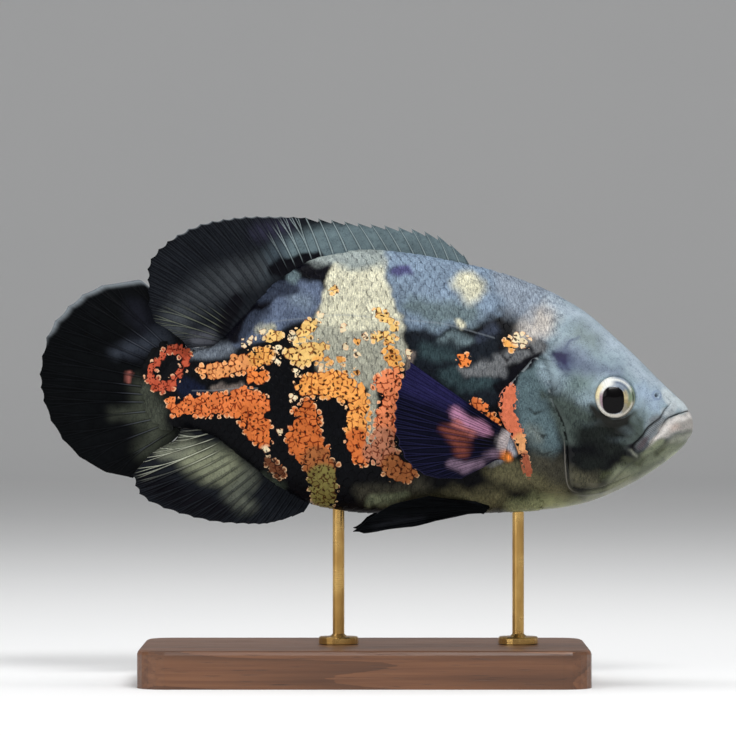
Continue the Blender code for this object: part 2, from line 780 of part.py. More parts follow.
def make_fins(parts, pits):
    fins = [
        rayed_fin(
            "dorsal_fin", DORSAL_GUIDES, dorsal_ray,
            backward_bow(-MEDIAN_BOW), SHEATH_HALF, dorsal_notch, FIN_SKIN, parts,
        ),
        rayed_fin(
            "anal_fin", ANAL_GUIDES, anal_ray,
            backward_bow(MEDIAN_BOW), SHEATH_HALF, soft_notch, FIN_SKIN, parts,
        ),
        rayed_fin(
            "tail_fin", TAIL_GUIDES, tail_ray,
            tail_bow, SHEATH_HALF, soft_notch, FIN_SKIN, parts,
        ),
    ]
    for side, word in ((-1, "right"), (1, "left")):
        fins.append(
            rayed_fin(
                "pectoral_fin_" + word, PECTORAL_GUIDES, paired_ray(PECTORAL_GUIDES, side),
                flaring_bow(side, PECTORAL_FLARE), PECTORAL_SHEATH_HALF, soft_notch, PECTORAL_SKIN, parts,
            )
        )
        fins.append(
            rayed_fin(
                "pelvic_fin_" + word, PELVIC_GUIDES, paired_ray(PELVIC_GUIDES, side),
                flaring_bow(side, PELVIC_FLARE), PELVIC_SHEATH_HALF, soft_notch, FIN_SKIN, parts,
            )
        )
    cutter = body_loft("grown_body", pits, grow=CUT_GROW)
    for fin in fins:
        boolean(fin, cutter, "DIFFERENCE")
        keep_largest(fin)
        shade(fin)
    return cutter


def make_base(parts):
    shape = bmesh.new()
    bmesh.ops.create_cube(shape, size=1.0)
    bmesh.ops.scale(shape, vec=(BASE_LENGTH, BASE_DEPTH, BASE_THICKNESS), verts=shape.verts)
    bmesh.ops.translate(shape, vec=(0, 0, BASE_THICKNESS / 2), verts=shape.verts)
    uprights = [e for e in shape.edges if abs(e.verts[0].co.z - e.verts[1].co.z) > BASE_THICKNESS / 2]
    bmesh.ops.bevel(shape, geom=uprights, offset=BASE_CORNER, segments=5, profile=0.5, affect="EDGES")
    top_edges = [e for e in shape.edges if all(v.co.z > BASE_THICKNESS - GAP for v in e.verts)]
    bmesh.ops.bevel(shape, geom=top_edges, offset=BASE_EDGE, segments=2, profile=0.5, affect="EDGES")
    mesh = bpy.data.meshes.new("stand_base")
    shape.to_mesh(mesh)
    shape.free()
    base = bpy.data.objects.new("stand_base", mesh)
    mesh.materials.append(material_of(WOOD))
    parts.objects.link(base)
    shade(base)


def make_rod(name, behind, cutter, parts):
    """A turned rod with a round foot, standing on the base, its top cut to the belly."""
    low = BASE_THICKNESS + GAP
    top = AXIS_HEIGHT + belly_height(behind) + ROD_ENTRY
    foot_top = low + FOOT_THICKNESS
    profile = (
        (0.0, top), (ROD_RADIUS, top), (ROD_RADIUS, foot_top + FOOT_SHOULDER),
        (ROD_RADIUS + FOOT_SHOULDER, foot_top), (FOOT_RADIUS - FOOT_SHOULDER / 2, foot_top),
        (FOOT_RADIUS, foot_top - FOOT_SHOULDER / 2), (FOOT_RADIUS, low), (0.0, low),
    )
    mesh = bpy.data.meshes.new(name)
    edges = [(i, i + 1) for i in range(len(profile) - 1)]
    mesh.from_pydata([(x, 0, z) for x, z in profile], edges, [])
    mesh.materials.append(material_of(BRASS))
    rod = bpy.data.objects.new(name, mesh)
    rod.location.x = LIP_X - behind
    parts.objects.link(rod)
    screw = rod.modifiers.new("turn", "SCREW")
    screw.steps = screw.render_steps = 20
    screw.use_merge_vertices = True
    screw.merge_threshold = 0.00001
    bpy.context.view_layer.update()
    bake(rod)
    boolean(rod, cutter, "DIFFERENCE")
    keep_largest(rod)
    shade(rod)


def main():
    clear_scene()
    parts = collection_named("oscar_fish")
    work = collection_named("work")
    blades = collection_named("blades")
    pits = collection_named("pits")
    part_body(parts, work, blades, pits)
    for side, word in ((-1, "right"), (1, "left")):
        shade(gill_plate("gill_cover_" + word, side, parts))
        shade(eyeball("eye_" + word, side, parts))
    cutter = make_fins(parts, pits)
    make_base(parts)
    for name, behind in zip(("stand_rod_front", "stand_rod_rear"), ROD_STATIONS):
        make_rod(name, behind, cutter, parts)
    bpy.data.objects.remove(cutter)


main()
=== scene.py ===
"""The looks of a life-size museum model of an oscar, a deep-bodied cichlid, on a plain two-rod stand.

The fish faces +X and its right flank faces -Y. A place on it is given by its distance behind the tip of the
lower lip, its height above the body's axis and its distance aside of the middle plane, all in metres."""

import math

import bpy
import numpy as np
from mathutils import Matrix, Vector
from mathutils.bvhtree import BVHTree


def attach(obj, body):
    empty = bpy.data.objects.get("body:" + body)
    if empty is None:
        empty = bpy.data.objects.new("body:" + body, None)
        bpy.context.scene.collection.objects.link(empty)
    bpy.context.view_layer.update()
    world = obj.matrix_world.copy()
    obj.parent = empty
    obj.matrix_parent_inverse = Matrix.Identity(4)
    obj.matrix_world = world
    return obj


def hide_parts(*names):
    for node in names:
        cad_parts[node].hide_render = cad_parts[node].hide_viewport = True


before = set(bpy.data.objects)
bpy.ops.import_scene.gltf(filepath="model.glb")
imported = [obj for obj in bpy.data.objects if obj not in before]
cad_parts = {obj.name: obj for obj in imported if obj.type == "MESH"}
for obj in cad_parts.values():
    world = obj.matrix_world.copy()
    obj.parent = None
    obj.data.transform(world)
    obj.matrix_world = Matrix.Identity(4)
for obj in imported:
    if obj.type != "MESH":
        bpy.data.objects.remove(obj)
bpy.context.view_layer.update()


# The display base is one block of walnut, sawn flat, with rounded corners and an eased top edge, rubbed with
# oil. The frame's solid has its right shape and takes only the finish. The grain runs along the fish.

def tone(red, green, blue):
    """A colour as it looks on a screen, 0 to 255 a channel, in the linear values that a shader takes."""
    shares = [channel / 255 for channel in (red, green, blue)]
    return tuple(((s + 0.055) / 1.055) ** 2.4 if s > 0.04 else s / 12.92 for s in shares) + (1.0,)


def join(tree, socket, value):
    """Links a socket to another, or gives it a plain value."""
    if isinstance(value, bpy.types.NodeSocket):
        tree.links.new(value, socket)
    elif value is not None:
        socket.default_value = value


def node(tree, kind, inputs=(), out=0, **settings):
    """One output of a new shader node. Its inputs, in order, are sockets, values or None for their default."""
    made = tree.nodes.new("ShaderNode" + kind)
    for name, value in settings.items():
        setattr(made, name, value)
    for socket, value in zip(made.inputs, inputs):
        join(tree, socket, value)
    return made.outputs[out]


def maths(tree, operation, *inputs):
    return node(tree, "Math", inputs, operation=operation)


def between(tree, value, low, high):
    """Rises smoothly from 0 to 1 as the value goes from low to high, or falls where low is the greater."""
    if low < high:
        return node(tree, "MapRange", (value, low, high, 0.0, 1.0), interpolation_type="SMOOTHSTEP")
    return node(tree, "MapRange", (value, high, low, 1.0, 0.0), interpolation_type="SMOOTHSTEP")


def blended(tree, share, under, over, kind="MIX"):
    """One colour laid over another by a share."""
    made = tree.nodes.new("ShaderNodeMix")
    made.data_type = "RGBA"
    made.blend_type = kind
    made.clamp_factor = True
    for index, value in ((0, share), (6, under), (7, over)):
        join(tree, made.inputs[index], value)
    return made.outputs[2]


def bumped(tree, height, distance, strength=1.0, normal=None):
    made = tree.nodes.new("ShaderNodeBump")
    for name, value in (("Height", height), ("Distance", distance), ("Strength", strength), ("Normal", normal)):
        join(tree, made.inputs[name], value)
    return made.outputs[0]


def new_finish(name, colour=None, roughness=0.4, normal=None, **even):
    """A material whose Principled shader holds the even values, with its node tree, for what varies."""
    made = bpy.data.materials.new(name)
    made.use_nodes = True
    shader = made.node_tree.nodes["Principled BSDF"]
    shader.inputs["Roughness"].default_value = roughness
    for key, value in even.items():
        shader.inputs[key.replace("_", " ").title().replace("Ior", "IOR")].default_value = value
    return made, made.node_tree, shader


def stretched_place(tree, stretch):
    """The place on the model, in metres, scaled apart along each axis."""
    coordinates = node(tree, "TexCoord", out=3)
    return node(tree, "VectorMath", (coordinates, stretch), operation="MULTIPLY")


WALNUT_DARK = tone(62, 38, 24)
WALNUT_MID = tone(98, 62, 40)
WALNUT_PALE = tone(124, 82, 54)
walnut, tree, shader = new_finish("oiled_walnut", roughness=0.42, coat_weight=0.15, coat_roughness=0.3)
figure = node(tree, "TexNoise", (stretched_place(tree, (1.6, 22.0, 34.0)), None, 1.0, 2.0, 0.5))
fibres = node(tree, "TexNoise", (stretched_place(tree, (9.0, 420.0, 420.0)), None, 1.0, 3.0, 0.6))
rings = maths(tree, "FRACT", maths(tree, "MULTIPLY_ADD", fibres, 0.35, maths(tree, "MULTIPLY", figure, 12.0)))
late_wood = between(tree, rings, 0.30, 1.0)
pores = node(tree, "TexNoise", (stretched_place(tree, (50.0, 1300.0, 1300.0)), None, 1.0, 2.0, 0.6))
pore_marks = between(tree, pores, 0.60, 0.70)
warmth = blended(tree, between(tree, fibres, 0.30, 0.70), WALNUT_MID, WALNUT_PALE)
grain = blended(tree, maths(tree, "MULTIPLY", late_wood, 0.55), warmth, WALNUT_DARK)
join(tree, shader.inputs["Base Color"], blended(tree, maths(tree, "MULTIPLY", pore_marks, 0.6), grain, WALNUT_DARK))
join(tree, shader.inputs["Roughness"], node(tree, "MapRange", (pores, 0.3, 0.7, 0.36, 0.52)))
join(tree, shader.inputs["Normal"], bumped(tree, maths(tree, "MULTIPLY", pore_marks, -1.0), 0.00008))
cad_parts["stand_base"].material_slots[0].material = walnut


# Two turned brass rods with round feet carry the fish. They are lathe work, lightly brushed, and lacquered, and
# the frame's solids have their right shape.

BRASS_BRIGHT = tone(214, 176, 108)
BRASS_DULL = tone(176, 136, 76)
brass, tree, shader = new_finish("satin_brass", roughness=0.27, metallic=1.0)
place_on_rod = stretched_place(tree, (60.0, 60.0, 60.0))
cloudiness = node(tree, "TexNoise", (place_on_rod, None, 1.0, 2.0, 0.5))
turning = node(tree, "TexNoise", (stretched_place(tree, (80.0, 80.0, 9000.0)), None, 1.0, 1.0, 0.5))
join(tree, shader.inputs["Base Color"], blended(tree, between(tree, cloudiness, 0.3, 0.7), BRASS_BRIGHT, BRASS_DULL))
join(tree, shader.inputs["Roughness"], node(tree, "MapRange", (cloudiness, 0.3, 0.7, 0.22, 0.34)))
join(tree, shader.inputs["Normal"], bumped(tree, turning, 0.00003))
for rod in ("stand_rod_front", "stand_rod_rear"):
    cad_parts[rod].material_slots[0].material = brass


# The skin is one sheet over head and body, cast and painted, with the mouth, the nostrils, the folds of the
# head and the sockets in it. It is bare on the snout and throat and lies under the scales elsewhere.

LIP_X = 0.140
AXIS_HEIGHT = 0.120
SWAY_START = 0.130
SWAY_RATE = 0.62

# The body's girth: behind the lip, back, belly, half width, height of the widest line
BODY_STATIONS = (
    (0.0000, -0.0108, -0.0112, 0.0002, -0.0110),
    (0.0013, -0.0055, -0.0158, 0.0048, -0.0110),
    (0.0034, -0.0020, -0.0188, 0.0078, -0.0110),
    (0.0077, 0.0022, -0.0230, 0.0110, -0.0105),
    (0.0140, 0.0081, -0.0279, 0.0140, -0.0095),
    (0.0310, 0.0247, -0.0379, 0.0184, -0.0070),
    (0.0480, 0.0390, -0.0443, 0.0218, -0.0050),
    (0.0650, 0.0481, -0.0471, 0.0238, -0.0035),
    (0.0940, 0.0573, -0.0480, 0.0240, -0.0010),
    (0.1380, 0.0640, -0.0480, 0.0210, 0.0030),
    (0.1580, 0.0612, -0.0455, 0.0178, 0.0045),
    (0.1760, 0.0515, -0.0370, 0.0143, 0.0050),
    (0.1930, 0.0345, -0.0240, 0.0106, 0.0050),
    (0.2060, 0.0230, -0.0150, 0.0084, 0.0040),
    (0.2210, 0.0212, -0.0126, 0.0058, 0.0040),
    (0.2280, 0.0110, -0.0035, 0.0034, 0.0040),
)
BODY_END = BODY_STATIONS[-1][0]
BACK_ROUNDNESS = 1.95
BELLY_ROUNDNESS = 2.25
SECTIONS = 700
SECTION_STEPS = 200


def smooth_through(points, at):
    """Values of a smooth curve through (x, value) points, which never overshoots them."""
    xs, ys = np.array(points, float).T
    slopes = np.diff(ys) / np.diff(xs)
    product = slopes[:-1] * slopes[1:]
    total = np.where(product > 0, slopes[:-1] + slopes[1:], 1.0)
    inner = np.where(product > 0, 2 * product / total, 0.0)
    tangents = np.concatenate((slopes[:1], inner, slopes[-1:]))
    at = np.clip(at, xs[0], xs[-1])
    i = np.clip(np.searchsorted(xs, at, side="right") - 1, 0, len(xs) - 2)
    width = xs[i + 1] - xs[i]
    t = (at - xs[i]) / width
    return (
        (2 * t**3 - 3 * t**2 + 1) * ys[i] + (t**3 - 2 * t**2 + t) * width * tangents[i]
        + (3 * t**2 - 2 * t**3) * ys[i + 1] + (t**3 - t**2) * width * tangents[i + 1]
    )


def station(behind, column):
    """One girth value behind the lip. The root of the distance is smoothed, which rounds the snout."""
    points = [(math.sqrt(row[0]), row[column]) for row in BODY_STATIONS]
    return smooth_through(points, np.sqrt(np.maximum(behind, 0.0)))


def place(behind, height, aside):
    """Points on or near the fish in the model's own frame. Aside is positive on its left, at +Y."""
    behind, height, aside = np.broadcast_arrays(behind, height, aside)
    sway = SWAY_RATE * np.maximum(0.0, behind - SWAY_START) ** 2
    return np.stack((LIP_X - behind, sway + aside, AXIS_HEIGHT + height), axis=-1)


def measure_sections():
    """Heights and widths of the body at even steps round many sections, and how long each way round is."""
    behind = np.linspace(0, math.sqrt(BODY_END), SECTIONS) ** 2
    back, belly, half_width, widest = (station(behind, column) for column in (1, 2, 3, 4))
    turn = np.linspace(0, math.pi / 2, 4 * SECTION_STEPS)
    heights = np.zeros((SECTIONS, 2 * SECTION_STEPS + 1))
    asides = np.zeros_like(heights)
    lengths = []
    steps = np.arange(SECTION_STEPS + 1) / SECTION_STEPS
    for reach, roundness, way in ((back - widest, BACK_ROUNDNESS, 1), (belly - widest, BELLY_ROUNDNESS, -1)):
        rise = reach[:, None] * np.sin(turn) ** (2 / roundness)
        out = half_width[:, None] * np.abs(np.cos(turn)) ** (2 / roundness)
        runs = np.hypot(np.diff(rise, axis=1), np.diff(out, axis=1))
        along = np.concatenate((np.zeros((SECTIONS, 1)), np.cumsum(runs, axis=1)), axis=1)
        lengths.append(along[:, -1])
        columns = SECTION_STEPS + way * np.arange(SECTION_STEPS + 1)
        for row in range(SECTIONS):
            wanted = steps * along[row, -1]
            heights[row, columns] = widest[row] + np.interp(wanted, along[row], rise[row])
            asides[row, columns] = np.interp(wanted, along[row], out[row])
    return heights, asides, lengths[0], lengths[1]


section_heights, section_asides, lengths_up, lengths_down = measure_sections()


def on_table(table, behind, column):
    """Reads a table of sections between its rows and columns."""
    row = np.clip(np.sqrt(np.maximum(behind, 0.0) / BODY_END) * (SECTIONS - 1), 0, SECTIONS - 1.0001)
    low_row = row.astype(int)
    row_share = row - low_row
    if table.ndim == 1:
        return table[low_row] * (1 - row_share) + table[low_row + 1] * row_share
    column = np.clip(column, 0, table.shape[1] - 1.0001)
    low = column.astype(int)
    share = column - low
    near = table[low_row, low] * (1 - share) + table[low_row, low + 1] * share
    far = table[low_row + 1, low] * (1 - share) + table[low_row + 1, low + 1] * share
    return near * (1 - row_share) + far * row_share


def round_body(behind, share):
    """Height and distance aside at a share of the way round from the widest line: 1 is the back, -1 the belly."""
    column = (share + 1) * SECTION_STEPS
    return on_table(section_heights, behind, column), on_table(section_asides, behind, column)


def on_flank(behind, along, side):
    """Points and heights on the body, given the way along its skin up from the widest line, or down if less."""
    behind, along = np.broadcast_arrays(np.asarray(behind, float), np.asarray(along, float))
    length = np.where(along > 0, on_table(lengths_up, behind, 0), on_table(lengths_down, behind, 0))
    share = along / length
    over = np.abs(share) > 1
    share = np.where(over, 2 * np.sign(share) - share, share)
    height, aside = round_body(behind, share)
    return place(behind, height, side * np.where(over, -aside, aside)), height


def unit(vectors):
    return vectors / np.maximum(np.linalg.norm(vectors, axis=-1, keepdims=True), 1e-12)


SLOPE_STEP = 0.0005


def surface_normal(surface, behind, along, side):
    """The outward direction of a surface that gives points for the distance behind and the way along the skin."""
    run = surface(behind + SLOPE_STEP, along, side)[0] - surface(behind - SLOPE_STEP, along, side)[0]
    rise = surface(behind, along + SLOPE_STEP, side)[0] - surface(behind, along - SLOPE_STEP, side)[0]
    return unit(np.cross(run, rise)) * side


def half_breadth(behind, height):
    """How far the body's side stands from the middle plane at this place."""
    widest = station(behind, 4)
    upper = height >= widest
    reach = np.where(upper, station(behind, 1), station(behind, 2)) - widest
    roundness = np.where(upper, BACK_ROUNDNESS, BELLY_ROUNDNESS)
    share = np.minimum(np.abs((height - widest) / reach), 1.0)
    return station(behind, 3) * (1 - share**roundness) ** (1 / roundness)


def cloud(x, y, size, seed):
    """Smooth random values from -1 to 1 over a plane, that change over about this size."""
    lattice = np.random.default_rng(seed).uniform(-1, 1, (64, 64))
    u, v = np.asarray(x) / size + 17.3, np.asarray(y) / size + 29.1
    i, j = np.floor(u).astype(int), np.floor(v).astype(int)
    p, q = u - i, v - j
    p, q = p * p * (3 - 2 * p), q * q * (3 - 2 * q)

    def corner(di, dj):
        return lattice[(i + di) % 64, (j + dj) % 64]

    low = corner(0, 0) * (1 - p) + corner(1, 0) * p
    high = corner(0, 1) * (1 - p) + corner(1, 1) * p
    return low * (1 - q) + high * q


def past_stroke(stroke, x, y):
    """How far places are outside a brush stroke, given as (x, y, radius) points, and less than 0 in it."""
    stroke = stroke if len(stroke) > 1 else stroke * 2
    nearest = np.full(np.shape(x), 1.0)
    for (ax, ay, ar), (bx, by, br) in zip(stroke, stroke[1:]):
        dx, dy = bx - ax, by - ay
        t = np.clip(((x - ax) * dx + (y - ay) * dy) / max(dx * dx + dy * dy, 1e-12), 0, 1)
        away = np.hypot(x - ax - t * dx, y - ay - t * dy) - (ar + (br - ar) * t)
        nearest = np.minimum(nearest, away)
    return nearest


def past_field(corners, x, y):
    """How far places are outside a field with these corners, and less than 0 inside it."""
    nearest = np.full(np.shape(x), 1.0)
    inside = np.zeros(np.shape(x), bool)
    for (ax, ay), (bx, by) in zip(corners, corners[1:] + corners[:1]):
        dx, dy = bx - ax, by - ay
        t = np.clip(((x - ax) * dx + (y - ay) * dy) / (dx * dx + dy * dy), 0, 1)
        nearest = np.minimum(nearest, np.hypot(x - ax - t * dx, y - ay - t * dy))
        crosses = (ay > y) != (by > y)
        inside ^= crosses & (x < (bx - ax) * (y - ay) / (dy if dy else 1e-9) + ax)
    return np.where(inside, -nearest, nearest)


def smooth_step(low, high, value):
    t = np.clip((value - low) / (high - low), 0, 1)
    return t * t * (3 - 2 * t)


def painted(base, patches, behind, height, seed, waver=0.0016):
    """Colours of places painted with patches, in order. A stroke's points have a radius and a field's none."""
    colours = np.tile(np.array(base), (len(behind), 1))
    x = behind + waver * (cloud(behind, height, 0.007, seed) + 0.5 * cloud(behind, height, 0.0028, seed + 1))
    y = height + waver * (cloud(behind, height, 0.007, seed + 2) + 0.5 * cloud(behind, height, 0.0028, seed + 3))
    for colour, softness, shape in patches:
        past = past_stroke(shape, x, y) if len(shape[0]) == 3 else past_field(shape, x, y)
        cover = 1 - smooth_step(-softness, softness, past)
        colours += cover[:, None] * (np.array(colour) - colours)
    for size, strength, turn in ((0.0060, 0.10, 4), (0.0022, 0.08, 5)):
        colours[:, :3] *= 1 + strength * cloud(behind, height, size, seed + turn)[:, None]
    return colours


NAVY = tone(8, 9, 13)
NIGHT = tone(10, 10, 17)
NIGHT_BLUE = tone(23, 28, 35)
BLUE_BLACK = tone(18, 24, 44)
INDIGO = tone(78, 78, 118)
INDIGO_DARK = tone(46, 46, 78)
SLATE = tone(92, 104, 126)
SLATE_DARK = tone(50, 57, 72)
SLATE_PALE = tone(114, 128, 144)
GAP_GREY = tone(112, 102, 96)
STEM_SLATE = tone(104, 112, 122)
TEAL_GREY = tone(97, 113, 118)
TEAL_DARK = tone(50, 66, 70)
STEEL = tone(120, 138, 157)
SHEATH_GREY = tone(147, 156, 153)
CREAM = tone(208, 205, 180)
WINDOW_GREY = tone(162, 162, 146)
NAPE_LILAC = tone(130, 141, 154)
NAPE_PINK = tone(187, 181, 174)
HEAD_GREY = tone(136, 154, 163)
HEAD_LILAC = tone(106, 118, 136)
SMUDGE = tone(78, 88, 112)
HEAD_TEAL = tone(112, 130, 130)
HEAD_TOP_HIGHLIGHT = tone(160, 174, 186)
FOREHEAD_OLIVE = tone(124, 138, 140)
CHEEK_TEAL = tone(66, 76, 72)
CHEEK_DARK = tone(27, 31, 29)
CHEEK_OLIVE = tone(84, 82, 66)
OPERCLE = tone(84, 102, 107)
OPERCLE_LOW = tone(62, 60, 50)
SCRIBBLE_SLATE = tone(104, 106, 108)
OPERCLE_PALE = tone(108, 116, 112)
EYE_SHADOW = tone(22, 23, 19)
SNOUT = tone(150, 168, 186)
PREMAXILLA = tone(176, 186, 190)
MAXILLA_PALE = tone(166, 174, 178)
MAXILLA = tone(116, 122, 126)
MAXILLA_DARK = tone(84, 76, 80)
LIP_PALE = tone(158, 154, 149)
LIP_TOP_HIGHLIGHT = tone(206, 202, 198)
LIP_PINK = tone(182, 166, 157)
JAW_GREY = tone(136, 138, 126)
JAW_OLIVE = tone(112, 118, 97)
JAW_RIM = tone(140, 146, 120)
JAW_DARK = tone(66, 70, 50)
THROAT = tone(118, 120, 98)
BELLY_OLIVE_LIT_FROM_BELOW = tone(142, 146, 106)
BELLY_BROWN_LIT_FROM_BELOW = tone(92, 88, 64)
WEDGE_GREEN = tone(118, 124, 98)
REAR_GREEN = tone(62, 70, 60)
GIRDLE_GREY = tone(150, 152, 160)
ORANGE = tone(238, 138, 58)
FIN_BLACK = tone(8, 10, 12)
FIN_ROOT = tone(68, 72, 62)

